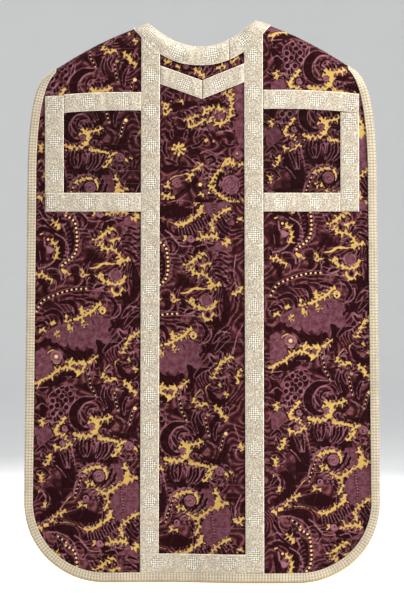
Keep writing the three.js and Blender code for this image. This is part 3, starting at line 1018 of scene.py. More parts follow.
def lay_field(bolt, points):
    """A plain leaf's whole field, inside a smooth outline."""
    line = smooth_line(list(points) + [points[0]])
    found = bolt.window(line.min(0) - 2, line.max(0) + 2)
    if found is None:
        return
    xs, ys, cells_at = found
    gx, gy = np.meshgrid(xs, ys)
    inside = np.zeros(gx.shape, bool)
    for (x0, y0), (x1, y1) in zip(line, np.roll(line, -1, 0)):
        if y0 != y1:
            crossing = gx < (x1 - x0) * (gy - y0) / (y1 - y0) + x0
            inside ^= ((y0 > gy) != (y1 > gy)) & crossing
    bolt.lay("leaf", inside.astype(np.float32), cells_at)


def lay_ribs(bolt, size, points):
    """Crosswise loops on a band."""
    count, reach, half = size
    for p, d in zip(*along_line(points, count, 0.03)):
        out = np.array([-d[1], d[0]]) * reach
        bolt.stroke("loop", [p - out, p + out], half)


def lay_curl(bolt, thread, size, points):
    radius, half, start, turns = size
    bolt.stroke(thread, spiral(points[0], radius, start, turns), half)


GOLD_SHARE = 0.63  # a ground line's drawn width that the lobes beside it leave bare

PENS = {
    "field": lambda b, s, p: lay_field(b, p),
    "pile": lambda b, s, p: b.stroke("pile", p, *s),
    "loop": lambda b, s, p: b.stroke("loop", p, *s),
    "gold": lambda b, s, p: b.stroke("gold", p, *(GOLD_SHARE * size for size in s)),
    "tongue": lambda b, s, p: outlined(b, p, *s, 1.5),
    "comb": lambda b, s, p: barbs(b, p, *s),
    "cleft": lambda b, s, p: barbs(b, p, *s, "pile"),
    "ribs": lay_ribs,
    "ring": lambda b, s, p: b.stroke("loop", spiral(p[0], s[0], 0, 1.0, 1.0), s[1]),
    "beads": lambda b, s, p: beads(b, p, *s),
    "star": lambda b, s, p: blossom(b, p[0], *s),
    "curl_loop": lambda b, s, p: lay_curl(b, "loop", s, p),
    "curl_gold": lambda b, s, p: lay_curl(b, "gold", s, p),
    "disc_pile": lambda b, s, p: b.stroke("pile", dot(p[0]), *s),
    "disc_leaf": lambda b, s, p: b.stroke("leaf", dot(p[0]), *s),
    "disc_gold": lambda b, s, p: b.stroke("gold", dot(p[0]), *s),
    "disc_bead": lambda b, s, p: b.stroke("bead", dot(p[0]), *s),
}


def draw_bolt():
    """Lobes beside the wide ground lines first, then every stroke in turn."""
    bolt = Bolt()
    strokes = [(pen, size, list(zip(line[::2], line[1::2])))
               for pen, size, *lines in DESIGN for line in lines]
    lobed = [pen == "gold" and max(size[:2]) >= LOBED for pen, size, _ in strokes]
    for (_, size, points), wide in zip(strokes, lobed):
        if wide:
            crowd(bolt, points, max(size[:2]), lay_lobe)
    for (pen, size, points), wide in zip(strokes, lobed):
        if wide:
            crowd(bolt, points, max(size[:2]), lay_tooth)
        PENS[pen](bolt, size, points)
    return bolt


LOBE_PITCH = 8.5  # between two lobes of a leaf
LOBED = 1.8  # half width from which a ground line has lobes beside it

# Every stroke of the repeat: its pen, the pen's sizes, and for each stroke the points it passes
# through, as across and down by turns.
DESIGN = (
    ("field", (), (35, 232, 55, 220, 75, 213, 102, 205, 126, 197, 144, 199, 161, 213, 157, 228, 165, 242,
     157, 256, 140, 252, 130, 266, 118, 256, 110, 270, 98, 258, 87, 266, 75, 250, 63, 258, 51, 246,
     35, 242), (163, 492, 175, 480, 185, 494, 187, 514, 179, 529, 165, 533, 154, 537, 144, 529, 159, 518),
     (167, 551, 177, 539, 195, 525, 216, 529, 220, 557, 216, 583, 197, 600, 185, 608, 169, 592, 163, 573),
     (167, 659, 191, 651, 218, 659, 220, 675, 191, 671, 165, 673), (14, 270, 31, 264, 47, 283, 47, 305,
     35, 319, 16, 325), (16, 425, 35, 417, 47, 429, 39, 445, 20, 455)),
    ("pile", (3, 2, 4), (16, 35, 35, 28, 59, 41, 67, 65, 59, 92, 39, 112)),
    ("pile", (4, 3, 3), (55, 8, 75, 22, 85, 45, 85, 69, 75, 92)),
    ("pile", (4, 4, 1), (24, 55, 30, 73, 31, 92)),
    ("pile", (4, 4, 2), (89, 110, 96, 122, 94, 136)),
    ("pile", (3.5, 3, 2), (122, 112, 128, 124, 124, 138)),
    ("pile", (3, 3, 2), (20, 128, 31, 136, 35, 150), (43, 114, 57, 120, 57, 138)),
    ("pile", (4, 6, 2), (209, 104, 213, 132, 209, 161)),
    ("pile", (3, 3, 3), (177, 14, 157, 18, 189, 8)),
    ("pile", (4, 2, 2), (110, 92, 134, 81, 118, 69)),
    ("pile", (4, 4, 4), (165, 167, 181, 159, 197, 175, 177, 211)),
    ("pile", (6, 5, 3), (161, 218, 181, 216, 201, 209, 215, 218)),
    ("pile", (5, 3, 3), (26, 256, 43, 252, 63, 262)),
    ("pile", (6, 6, 4), (75, 270, 91, 277, 110, 279, 122, 270)),
    ("pile", (5, 4, 4), (138, 250, 144, 266, 138, 297)),
    ("pile", (3, 3, 4), (177, 297, 195, 323, 213, 313)),
    ("pile", (3.5, 3, 3), (67, 315, 83, 311, 100, 321)),
    ("pile", (5, 5, 3), (26, 344, 47, 331, 71, 325)),
    ("pile", (6, 6, 6), (114, 337, 138, 348, 165, 368, 157, 388)),
    ("pile", (5, 5, 3), (20, 360, 31, 380, 28, 396)),
    ("pile", (3, 3, 3), (67, 474, 55, 486, 75, 518)),
    ("pile", (7, 6, 8), (63, 470, 75, 494, 79, 529, 71, 553)),
    ("pile", (5, 5, 7), (100, 457, 110, 474, 130, 482)),
    ("pile", (5, 5, 6), (142, 459, 150, 474, 173, 486)),
    ("pile", (6, 6, 4), (22, 557, 47, 545, 55, 573, 28, 596)),
    ("pile", (7, 7, 5), (77, 594, 106, 594, 136, 596)),
    ("pile", (5, 5, 4), (45, 620, 67, 620, 87, 628, 102, 655)),
    ("pile", (5, 4, 4), (197, 612, 209, 628, 203, 644)),
    ("pile", (5, 5, 3), (24, 640, 39, 663, 67, 683)),
    ("pile", (4, 4, 3), (146, 655, 157, 665, 150, 679)),
    ("pile", (4, 3, 3), (193, 348, 185, 372, 189, 400), (213, 403, 197, 435, 169, 431)),
    ("pile", (3, 3, 2), (150, 413, 157, 417, 169, 411)),
    ("tongue", (3, 2, 2.5), (63, 173, 85, 173, 94, 185, 94, 201)),
    ("tongue", (3, 1.5, 2.5), (31, 197, 49, 191, 63, 199, 67, 216)),
    ("tongue", (2.5, 1.5, 1.5), (14, 218, 28, 213, 39, 222)),
    ("tongue", (2.5, 1, 2), (114, 167, 130, 169, 140, 177, 136, 191), (165, 199, 173, 183, 165, 167,
     150, 161)),
    ("tongue", (3, 2, 6), (130, 362, 108, 366, 92, 382, 89, 398, 94, 413, 108, 423, 122, 423)),
    ("tongue", (2, 1, 1), (134, 378, 120, 380, 114, 392, 122, 398)),
    ("tongue", (2.5, 1, 1), (106, 445, 104, 461, 110, 476), (120, 445, 120, 461, 116, 476), (142, 451,
     140, 466, 134, 478), (155, 451, 154, 466, 144, 480), (167, 455, 161, 470, 150, 482)),
    ("tongue", (2, 1, 1), (63, 466, 69, 480, 75, 498), (77, 461, 79, 478, 81, 498)),
    ("tongue", (2, 1, 1.2), (150, 340, 146, 356, 150, 370, 155, 380), (195, 362, 189, 376, 189, 394)),
    ("tongue", (2, 1.2, 1), (165, 337, 159, 348, 165, 364)),
    ("tongue", (3, 2, 1.5), (216, 92, 205, 77, 189, 69)),
    ("tongue", (2.5, 1.5, 1), (216, 73, 201, 57, 185, 55), (216, 53, 201, 41, 185, 41)),
    ("tongue", (2.2, 1.2, 1), (216, 33, 203, 26, 191, 28)),
    ("tongue", (2.4, 1.4, 1.5), (148, 138, 132, 142, 118, 136)),
    ("tongue", (3, 1.5, 2), (215, 173, 199, 185, 185, 203), (216, 193, 203, 203, 189, 222), (179, 228,
     183, 242, 169, 258), (150, 270, 161, 258, 177, 254)),
    ("tongue", (2.5, 1.5, 1.5), (203, 608, 209, 620, 218, 626), (193, 620, 203, 634, 216, 642)),
    ("tongue", (3, 1.5, 2), (165, 502, 157, 518, 142, 537)),
    ("tongue", (2.4, 1.2, 1), (173, 510, 167, 525, 154, 537)),
    ("tongue", (2.2, 1.5, 1), (18, 466, 30, 457, 37, 466), (16, 502, 31, 502, 43, 514)),
    ("tongue", (2.2, 1.5, 1.5), (18, 561, 30, 547, 39, 561, 31, 581), (83, 655, 102, 649, 114, 663,
     106, 679)),
    ("loop", (1.2, 1), (18, 12, 28, 8, 43, 12), (16, 26, 30, 22, 43, 28)),
    ("loop", (1.3, 1), (53, 37, 71, 49, 79, 67, 77, 87)),
    ("loop", (1,), (22, 71, 24, 89)),
    ("loop", (1.6, 1.2), (31, 45, 33, 61), (51, 91, 37, 102, 20, 106)),
    ("loop", (1.5, 1), (67, 20, 75, 39)),
    ("loop", (1.2, 1), (37, 108, 49, 106, 61, 112, 67, 130), (71, 118, 73, 130, 63, 144), (41, 128,
     55, 132, 53, 150), (110, 126, 102, 138, 92, 142), (120, 124, 114, 134), (138, 132, 128, 144),
     (152, 14, 169, 10, 177, 20), (138, 53, 144, 63)),
    ("loop", (1.4, 1), (181, 177, 181, 193, 171, 203, 157, 207)),
    ("loop", (1.2, 1), (152, 163, 155, 173, 154, 183)),
    ("loop", (1.2, 0.9), (110, 150, 136, 150, 155, 152, 165, 150)),
    ("loop", (1.2, 1), (175, 226, 181, 238, 185, 244), (177, 226, 195, 234), (195, 185, 203, 181,
     218, 185)),
    ("loop", (1.4, 1.2), (195, 274, 207, 272, 218, 266)),
    ("loop", (1,), (16, 342, 39, 340), (20, 356, 31, 356)),
    ("loop", (1.2, 1), (39, 405, 47, 409, 61, 409)),
    ("loop", (1.3, 1.2), (132, 370, 114, 372, 106, 380, 102, 392, 106, 401, 112, 409)),
    ("loop", (1,), (110, 358, 140, 360)),
    ("loop", (1.5, 1.2), (85, 455, 87, 468, 91, 482, 92, 494), (130, 443, 134, 455, 132, 468)),
    ("loop", (1.2,), (179, 400, 191, 407, 201, 415)),
    ("loop", (1.2, 1), (55, 494, 67, 506, 75, 518)),
    ("loop", (1.3, 1), (98, 514, 110, 498, 128, 490, 144, 492, 155, 502)),
    ("loop", (1,), (96, 522, 91, 537, 89, 551)),
    ("loop", (1.3, 1.1), (75, 563, 67, 575, 59, 586, 43, 598, 28, 606, 14, 610)),
    ("loop", (1.6, 1.2), (91, 632, 102, 640, 112, 653, 124, 663, 144, 663)),
    ("loop", (1.2, 1), (33, 626, 57, 626, 81, 638, 92, 653, 94, 671), (31, 628, 35, 649, 51, 663, 75, 671),
     (20, 640, 35, 663, 59, 683)),
    ("loop", (2.2, 1.2), (183, 539, 185, 559, 187, 577, 187, 600)),
    ("loop", (1.4, 1.1), (152, 303, 161, 295, 167, 305)),
    ("loop", (1.2, 1), (16, 380, 28, 372, 39, 380), (20, 285, 31, 277, 30, 266), (18, 301, 31, 291,
     45, 293)),
    ("loop", (1.4, 1), (24, 541, 35, 555, 31, 569)),
    ("loop", (1.2, 1), (118, 553, 126, 545, 138, 549), (167, 655, 189, 659, 215, 657), (75, 392, 81, 380,
     91, 366, 92, 346, 87, 337, 69, 337, 53, 346, 41, 356, 39, 372), (230, 30, 226, 69, 236, 104),
     (244, 167, 232, 191, 224, 226), (226, 364, 236, 396, 228, 423), (240, 502, 228, 533, 234, 571)),
    ("comb", (12, 26, -1, 0.5), (96, 18, 100, 49, 96, 77, 79, 96)),
    ("comb", (10, 16, 1, 0.5), (75, 14, 85, 45, 83, 73, 71, 92)),
    ("cleft", (11, 17, -1, 0.6), (183, 539, 185, 559, 187, 577, 187, 600)),
    ("cleft", (11, 17, 1, 0.6), (183, 539, 185, 559, 187, 577, 187, 600)),
    ("comb", (8, 14, 1, 0.3), (220, 22, 213, 49, 216, 92)),
    ("comb", (7, 12, 1, 0.5), (37, 628, 55, 628, 75, 640)),
    ("comb", (7, 9, 1, 0.2), (142, 203, 126, 211, 102, 220)),
    ("comb", (5, 9, -1, 0.5), (167, 529, 177, 510, 181, 490)),
    ("gold", (2.2, 1, 0.5), (45, 10, 55, 18, 63, 28)),
    ("gold", (2.6, 1.6), (24, 39, 30, 37)),
    ("gold", (1.4, 1.2), (37, 35, 43, 37)),
    ("gold", (2.2, 1.2, 0.8), (45, 49, 55, 63, 57, 77, 51, 89)),
    ("gold", (1.2, 1), (106, -2, 100, 6)),
    ("gold", (2.8, 1, 0.5), (138, 47, 150, 37, 163, 30, 167, 24)),
    ("gold", (1.3, 2), (122, 51, 138, 47)),
    ("gold", (1.3, 1.8), (140, 53, 144, 63, 150, 67)),
    ("gold", (2.4, 1.6), (150, 67, 167, 69, 179, 79, 181, 87, 179, 94)),
    ("gold", (1.2, 2.6), (159, 53, 171, 49, 181, 47)),
    ("gold", (1.2, 1), (165, 43, 173, 39)),
    ("gold", (1.2, 1.3, 2.6), (122, 106, 136, 104, 150, 96, 163, 98, 175, 96)),
    ("gold", (2, 3.4), (173, 96, 185, 94, 195, 91, 197, 85)),
    ("gold", (1.3, 1), (155, 91, 163, 85)),
    ("gold", (3, 2, 0.8), (144, 116, 144, 128, 155, 132, 163, 136)),
    ("gold", (2.6, 2.2, 0.8), (165, 138, 181, 136, 189, 128, 189, 120)),
    ("gold", (2.2, 2, 0.4), (165, 144, 167, 154, 175, 159, 181, 154, 185, 144)),
    ("gold", (3, 1.4), (203, 10, 211, 6, 220, 2)),
    ("gold", (1.4, 1.2), (118, 106, 132, 104, 142, 98)),
    ("gold", (2, 1.4), (14, 118, 30, 118, 39, 126, 49, 128)),
    ("gold", (2.2, 1.2), (65, 110, 75, 110, 71, 118)),
    ("gold", (1.6, 1.2), (77, 114, 81, 120, 83, 128)),
    ("gold", (2.2, 1.4), (102, 108, 110, 114, 110, 126)),
    ("gold", (2, 1.2), (142, 114, 138, 128)),
    ("gold", (2.6, 2), (22, 232, 28, 226, 31, 222)),
    ("gold", (3.2, 1.6), (45, 218, 51, 209)),
    ("gold", (3.4, 2.6), (75, 199, 77, 207)),
    ("gold", (2.2, 2.6, 0.8), (71, 211, 85, 209, 98, 205, 110, 199, 124, 191, 134, 181, 142, 173)),
    ("gold", (1.4, 2.2), (104, 179, 106, 187, 108, 197)),
    ("gold", (1.2, 1.3), (18, 252, 26, 240, 35, 230, 45, 224)),
    ("gold", (1.6, 1.2, 0.6), (37, 274, 45, 268, 55, 268, 63, 274)),
    ("gold", (1.6, 1.4, 0.8), (45, 289, 53, 293, 63, 291, 69, 285)),
    ("gold", (2.8, 2.2, 0.4), (12, 333, 22, 333, 26, 325, 41, 321, 47, 317)),
    ("gold", (3, 2.6, 1), (47, 317, 55, 309, 63, 305, 71, 301)),
    ("gold", (1.8,), (71, 301, 85, 303, 92, 307, 102, 313, 108, 305, 110, 297, 116, 293)),
    ("gold", (2, 2, 0.8), (73, 293, 83, 289, 92, 293, 104, 293, 116, 293, 126, 287, 138, 277)),
    ("gold", (1.8, 1.4, 0.4), (226, 230, 215, 234, 201, 242, 195, 250, 191, 262, 183, 276)),
    ("gold", (1.4, 1.6), (181, 283, 173, 289, 163, 295, 152, 305, 146, 315)),
    ("gold", (1.3, 1.2), (173, 289, 169, 305, 165, 317)),
    ("gold", (2, 1.6, 1.2), (146, 313, 152, 325, 163, 327, 173, 321)),
    ("gold", (2.2, 1.6), (195, 285, 203, 291)),
    ("gold", (2.4, 2), (205, 303, 216, 305)),
    ("gold", (1.8, 2.6, 1.2), (187, 327, 199, 337, 203, 346, 215, 352)),
    ("gold", (1.4, 1.2), (203, 333, 220, 325, 234, 329)),
    ("gold", (2.6, 3), (28, 400, 28, 417)),
    ("gold", (1.4, 1.2), (20, 382, 26, 392)),
    ("gold", (3.4, 1.2, 1), (122, 401, 134, 405, 150, 403, 167, 398)),
    ("gold", (3.6, 4.2), (118, 411, 136, 409)),
    ("gold", (4, 3), (138, 413, 136, 423, 128, 429)),
    ("gold", (2, 2.2, 0.8), (73, 398, 67, 409, 57, 419, 53, 429, 63, 433, 77, 437)),
    ("gold", (2.4, 1.8, 0.6), (85, 439, 81, 451, 69, 461, 49, 455)),
    ("gold", (3, 3, 1), (89, 431, 100, 437, 112, 437, 124, 435, 134, 429)),
    ("gold", (1.6, 1), (94, 441, 87, 453), (112, 441, 112, 453)),
    ("gold", (2.2, 2.4, 1.2), (136, 435, 144, 443, 152, 441, 161, 445, 171, 445)),
    ("gold", (2.6, 3.2), (171, 447, 181, 451, 193, 447)),
    ("gold", (3, 1.2), (179, 455, 181, 462, 173, 470, 165, 478)),
    ("gold", (2.4, 2), (207, 461, 216, 462, 226, 457)),
    ("gold", (1, 2.8), (43, 470, 43, 480, 39, 488)),
    ("gold", (2.6, 1.4), (39, 488, 33, 496)),
    ("gold", (2, 2.6, 1), (187, 490, 193, 500, 199, 506, 193, 514, 199, 522)),
    ("gold", (2, 3.6), (28, 508, 24, 518, 26, 527)),
    ("gold", (1.6, 1), (31, 525, 43, 529, 53, 541)),
    ("gold", (2, 1.4), (22, 543, 20, 551)),
    ("gold", (2, 1.2), (31, 567, 35, 577)),
    ("gold", (1.8, 2, 0.8), (104, 518, 112, 506, 124, 500, 138, 498, 150, 502, 155, 514, 152, 523)),
    ("gold", (4,), (114, 527, 122, 531, 132, 533)),
    ("gold", (2.6, 3, 0.6), (134, 541, 144, 545, 152, 551, 161, 545, 175, 535, 183, 531)),
    ("gold", (3, 3.4, 1), (183, 531, 193, 522, 205, 522, 215, 516)),
    ("gold", (2, 2.6), (155, 551, 157, 565, 154, 575, 150, 583)),
    ("gold", (2.6, 1.8, 0.6), (161, 583, 163, 592, 155, 602, 144, 608, 136, 616, 122, 620, 110, 620)),
    ("gold", (1.6,), (87, 553, 79, 559, 75, 565)),
    ("gold", (3, 1.4), (100, 567, 106, 573, 116, 571)),
    ("gold", (2.6, 1.2), (73, 581, 69, 586, 59, 590, 51, 596, 43, 606)),
    ("gold", (1.6, 3), (41, 608, 28, 616, 18, 616)),
    ("gold", (1.5, 1.4), (45, 612, 51, 608, 69, 606, 85, 608, 98, 614, 112, 620, 124, 618, 136, 614)),
    ("gold", (1.6, 2.4), (220, 588, 201, 598, 191, 606, 185, 614, 179, 622)),
    ("gold", (3, 1.8), (183, 622, 187, 636)),
    ("gold", (3, 1.6), (128, 642, 134, 651)),
    ("gold", (1.4, 1.2), (150, 638, 157, 634, 169, 634)),
    ("gold", (2, 3, 1), (152, 651, 161, 647, 175, 644, 185, 644, 197, 647)),
    ("gold", (3, 2), (209, 651, 218, 651)),
    ("gold", (1.2, 1.4), (201, 539, 207, 545)),
    ("gold", (1.6,), (157, 671, 161, 679)),
    ("gold", (1.6, 2.4), (244, 92, 234, 104, 222, 108)),
    ("gold", (2, 1.5), (240, 254, 232, 270, 236, 285), (236, 400, 246, 415)),
    ("gold", (1.6, 2.4), (246, 545, 234, 557, 224, 549)),
    ("gold", (2.2, 1.2), (232, 616, 244, 604)),
    ("disc_leaf", (10.6,), (172, 120)),
    ("ring", (10.6, 1.2), (172, 120)),
    ("disc_pile", (6,), (175, 148)),
    ("ring", (6, 1.1), (175, 148)),
    ("ring", (5, 1.1), (189, 30)),
    ("disc_pile", (7,), (146, 190)),
    ("curl_gold", (8, 1.6, 200, 1.3), (146, 190)),
    ("disc_leaf", (9.5,), (55, 280)),
    ("ring", (8.5, 1.2), (55, 280)),
    ("disc_bead", (4.0,), (55, 280)),
    ("ring", (11.5, 1.3), (55, 280)),
    ("ring", (5, 1), (55, 280)),
    ("disc_leaf", (3.4,), (78, 298), (91, 299), (103, 302)),
    ("disc_pile", (5.6,), (74, 366)),
    ("ring", (5.8, 1.05), (74, 366)),
    ("disc_pile", (5.6,), (66, 358)),
    ("ring", (5.8, 1.05), (66, 358)),
    ("disc_pile", (5.6,), (48, 367)),
    ("ring", (5.8, 1.05), (48, 367)),
    ("disc_pile", (5.6,), (59, 349)),
    ("ring", (5.8, 1.05), (59, 349)),
    ("disc_pile", (5.6,), (76, 344)),
    ("ring", (5.8, 1.05), (76, 344)),
    ("disc_pile", (5.6,), (83, 353)),
    ("ring", (5.8, 1.05), (83, 353)),
    ("disc_pile", (5.6,), (46, 379)),
    ("ring", (5.8, 1.05), (46, 379)),
    ("disc_pile", (5.6,), (64, 392)),
    ("ring", (5.8, 1.05), (64, 392)),
    ("disc_pile", (5.6,), (57, 376)),
    ("ring", (5.8, 1.05), (57, 376)),
    ("disc_pile", (5.6,), (75, 380)),
    ("ring", (5.8, 1.05), (75, 380)),
    ("disc_pile", (5.6,), (49, 392)),
    ("ring", (5.8, 1.05), (49, 392)),
    ("disc_pile", (8.5,), (72, 421)),
    ("curl_loop", (6.5, 1.2, 20, 1.4), (72, 421)),
    ("disc_leaf", (6.6,), (125, 417)),
    ("curl_loop", (6.5, 1.1, 200, 1.5), (125, 417)),
    ("disc_pile", (7,), (66, 451)),
    ("curl_loop", (6, 1.2, 90, -1.4), (66, 451)),
    ("disc_leaf", (3.6,), (84, 443)),
    ("disc_leaf", (3,), (82, 431)),
    ("disc_leaf", (9,), (198, 457)),
    ("curl_loop", (9.5, 1.3, 200, 1.6), (198, 457)),
    ("disc_pile", (14,), (139, 516)),
    ("disc_leaf", (11.5,), (140, 516)),
    ("curl_loop", (11.5, 1.4, 200, 1.8), (140, 516)),
    ("disc_pile", (8.5,), (113, 558)),
    ("curl_loop", (7.5, 1.4, 140, -1.4), (113, 559)),
    ("disc_pile", (8.4,), (141, 648)),
    ("curl_loop", (7.6, 1.5, 10, 1.6), (141, 648)),
    ("disc_bead", (3.4,), (175, 345)),
    ("disc_gold", (2,), (175, 345)),
    ("disc_bead", (3.6,), (210, 382)),
    ("curl_loop", (7, 1.2, 0, 1.5), (42, 69)),
    ("disc_bead", (2.6,), (39, 49)),
    ("cleft", (9, 15, 1, 0.5), (43, 228, 67, 222, 98, 211, 126, 203)),
    ("cleft", (5, 13, 1, 0.6), (126, 211, 142, 207, 157, 211)),
    ("cleft", (5, 10, -1, 0.5), (165, 529, 177, 510, 181, 490)),
    ("disc_leaf", (5.2,), (51, 248), (71, 256), (85, 248), (104, 260), (122, 258), (140, 242), (155, 234),
     (159, 218)),
    ("pile", (7, 5, 1.5), (116, 636, 136, 632, 155, 622, 175, 612)),
    ("ribs", (11, 7.2, 1), (116, 636, 136, 632, 155, 622, 175, 612)),
    ("beads", (15, 2.5), (74, 2, 83, 7, 91, 14, 94, 24, 96, 43, 96, 61, 92, 77, 83, 87, 67, 100)),
    ("beads", (13, 2.2), (16, 191, 22, 179, 30, 169, 41, 163, 65, 154, 87, 148, 114, 146)),
    ("beads", (6, 1.7), (118, 315, 122, 327, 122, 337, 128, 346, 132, 356), (106, 516, 102, 525, 98, 535,
     94, 547, 92, 557)),
    ("beads", (5, 1.7), (170, 352, 173, 370, 177, 386)),
    ("beads", (4, 1.6), (206, 388, 203, 400, 200, 413)),
    ("beads", (3, 2), (59, 634, 67, 640, 75, 646)),
    ("star", (6.6, 7, 1.5), (57, 235), (84, 225), (111, 216)),
    ("star", (5, 6, 1.2), (161, 681), (187, 681)),
    # the motifs of the centre cutting's head
    ("pile", (5, 4), (320, -49, 339, -39, 359, -30)),
    ("pile", (4, 4), (402, -30, 422, -41, 446, -49)),
    ("disc_leaf", (6,), (351, -37)),
    ("disc_leaf", (5,), (430, -37)),
    ("tongue", (2.2, 1.4, 1), (324, -53, 331, -45, 347, -41)),
    ("tongue", (2, 1.4, 1), (394, -18, 402, -26, 406, -37)),
    ("gold", (2, 1.4), (308, -51, 314, -47, 324, -47)),
    ("gold", (1.8, 1.2), (331, -37, 341, -37)),
    ("gold", (2.2, 1.2), (367, -31, 377, -24, 389, -14)),
    ("gold", (2, 1.3), (410, -30, 420, -35, 430, -37)),
    ("gold", (1.9, 1.2), (438, -41, 448, -47, 455, -55)),
    ("pile", (8, 6), (331, 43, 351, 39, 367, 37)),
    ("pile", (9, 7), (320, 100, 341, 96, 365, 94)),
    ("pile", (6, 5), (361, 128, 377, 134, 385, 148)),
    ("pile", (7, 5), (312, 165, 331, 163, 351, 161)),
    ("pile", (4, 3), (416, 104, 430, 102, 444, 106)),
    ("pile", (5, 5), (326, 226, 347, 211, 371, 189)),
    ("pile", (5, 4), (373, 226, 389, 232, 402, 226)),
    ("pile", (4, 4), (418, 179, 410, 195, 416, 211)),
    ("pile", (5, 4), (400, 37, 414, 35, 422, 41)),
    ("field", (), (446, 4, 467, -2, 471, 53, 455, 59, 446, 37), (450, 65, 469, 65, 471, 124, 457, 120,
     448, 89)),
    ("disc_leaf", (12,), (416, 61)),
    ("disc_leaf", (5.5,), (434, 28)),
    ("disc_leaf", (10,), (454, 138)),
    ("disc_leaf", (18,), (440, 197)),
    ("disc_leaf", (8,), (333, 193)),
    ("disc_leaf", (6,), (450, 79), (402, 85)),
    ("disc_leaf", (5,), (389, 211)),
    ("tongue", (2.5, 2, 1), (310, 112, 308, 128, 314, 142)),
    ("tongue", (2.2, 1.6, 1), (312, 148, 324, 152, 333, 157), (349, 142, 359, 150, 367, 159)),
    ("tongue", (2.4, 1.6, 1), (365, 122, 377, 118, 385, 108)),
    ("tongue", (2, 1.4, 0.8), (369, 102, 375, 91), (349, 104, 353, 91), (322, 91, 324, 104)),
    ("tongue", (2.2, 1.4, 1), (312, 14, 324, 22)),
    ("tongue", (2.4, 1.6, 1.2), (391, 146, 402, 142, 408, 150, 398, 155)),
    ("tongue", (2.2, 1.6, 1.2), (387, 163, 396, 171, 410, 171)),
    ("tongue", (2.4, 1.6, 1), (422, 114, 434, 122, 448, 120)),
    ("loop", (1.2, 0.9), (361, 45, 373, 43, 383, 49), (379, 136, 394, 130, 410, 136, 424, 132)),
    ("loop", (1.3, 0.9), (410, 96, 426, 92, 442, 94, 454, 106)),
    ("loop", (1.1, 0.8), (375, 87, 389, 89, 400, 94)),
    ("loop", (1.2, 0.9), (324, 65, 337, 65, 347, 71), (304, 240, 324, 230, 345, 228, 365, 232), (389, 187,
     396, 179, 402, 167)),
    ("loop", (1.1, 0.8), (426, 81, 436, 85, 442, 94), (416, 73, 416, 53), (406, 63, 426, 59)),
    ("comb", (9, 9, 1, 0.4), (450, 10, 454, 30, 457, 53)),
    ("comb", (10, 9, -1, 0.4), (450, 65, 454, 89, 457, 116)),
    ("ring", (17, 1.2), (440, 197)),
    ("ring", (11.5, 1.1), (440, 197)),
    ("ring", (5.5, 1.1), (440, 197)),
    ("ring", (6, 1.1), (454, 138)),
    ("ring", (8, 1.1), (333, 193)),
    ("ring", (3.6, 1.1), (333, 193)),
    ("gold", (1.9, 1.2), (302, 35, 312, 37, 318, 45, 316, 55, 306, 59)),
    ("gold", (1.3, 1), (304, 47, 310, 47)),
    ("gold", (1.5, 1.2), (322, 31, 328, 37)),
    ("gold", (1.8, 1.2), (333, 33, 341, 31, 347, 26)),
    ("gold", (1.7, 1.1), (320, 87, 328, 79, 337, 73)),
    ("gold", (2.3, 1.6), (347, 71, 359, 67, 369, 63, 377, 59)),
    ("gold", (1.9, 1.7), (355, 83, 369, 81, 379, 75, 392, 67)),
    ("gold", (1.3, 1), (353, 73, 361, 77)),
    ("gold", (2, 2.4), (385, 61, 389, 51, 400, 47, 416, 47, 428, 53)),
    ("gold", (1.7, 1.9), (438, 49, 438, 65, 430, 73, 416, 77, 402, 71, 398, 65)),
    ("gold", (1.7, 1.2), (404, 81, 412, 79)),
    ("gold", (1.4, 1), (381, 77, 389, 83)),
    ("gold", (1.3, 1), (422, 77, 426, 83)),
    ("gold", (1.8, 1.4), (424, 24, 430, 14, 438, 12, 442, 22, 440, 33, 442, 43, 438, 53)),
    ("gold", (1.4, 1), (452, 28, 461, 26, 469, 30)),
    ("star", (12.5, 8, 2.5, 'gold', 'pile'), (337, 127)),
    ("disc_gold", (4.2,), (391, 110)),
    ("disc_pile", (1.2,), (391, 110)),
    ("disc_gold", (2.6,), (406, 112)),
    ("gold", (2.4, 1.2), (351, 187, 361, 179, 367, 169, 375, 163, 385, 155)),
    ("gold", (1.7, 1.5), (320, 187, 328, 181, 339, 179, 353, 175)),
    ("gold", (2.4, 1.8), (316, 189, 316, 197, 320, 205)),
    ("gold", (1.4, 1), (300, 201, 312, 197)),
    ("gold", (2, 1.6), (302, 216, 312, 218, 320, 224, 328, 218)),
    ("gold", (1.8, 1.5), (400, 195, 406, 183, 414, 171, 422, 161, 428, 152, 436, 144)),
    ("gold", (1.7, 1.9), (434, 146, 442, 154, 452, 157, 469, 157)),
    ("gold", (1.2, 1), (457, 126, 465, 132)),
    ("gold", (1.3, 1.3), (428, 159, 436, 157, 442, 163, 440, 173, 432, 175, 426, 169)),
    ("gold", (1.8, 1.7), (394, 199, 404, 203, 412, 213, 422, 220, 434, 228, 448, 232, 469, 230)),
    ("gold", (1.8, 1.2), (375, 218, 383, 215, 389, 218)),
    ("gold", (1.3, 1), (448, 169, 459, 167)),
    ("disc_bead", (3.8,), (379, 197)),
    ("disc_bead", (2,), (337, 127)),
    ("disc_bead", (1.8,), (312, 47), (452, 136)),
    ("disc_bead", (2.2,), (396, 213)),
)


BOLTS = {}


def soften(layer):
    """Evens a layer out over its neighbours, so a thread's edge is not stepped."""
    for axis in (0, 1):
        layer = (np.roll(layer, 1, axis) + 2 * layer + np.roll(layer, -1, axis)) / 4
    return layer


def grain(seed, size, shape):
    """Even random tufts, each the size given in millimetres."""
    rows, columns = (math.ceil(n / size) for n in shape)
    tufts = np.random.default_rng(seed).random((rows, columns))
    return np.kron(tufts, np.ones((size, size)))[:shape[0], :shape[1]]


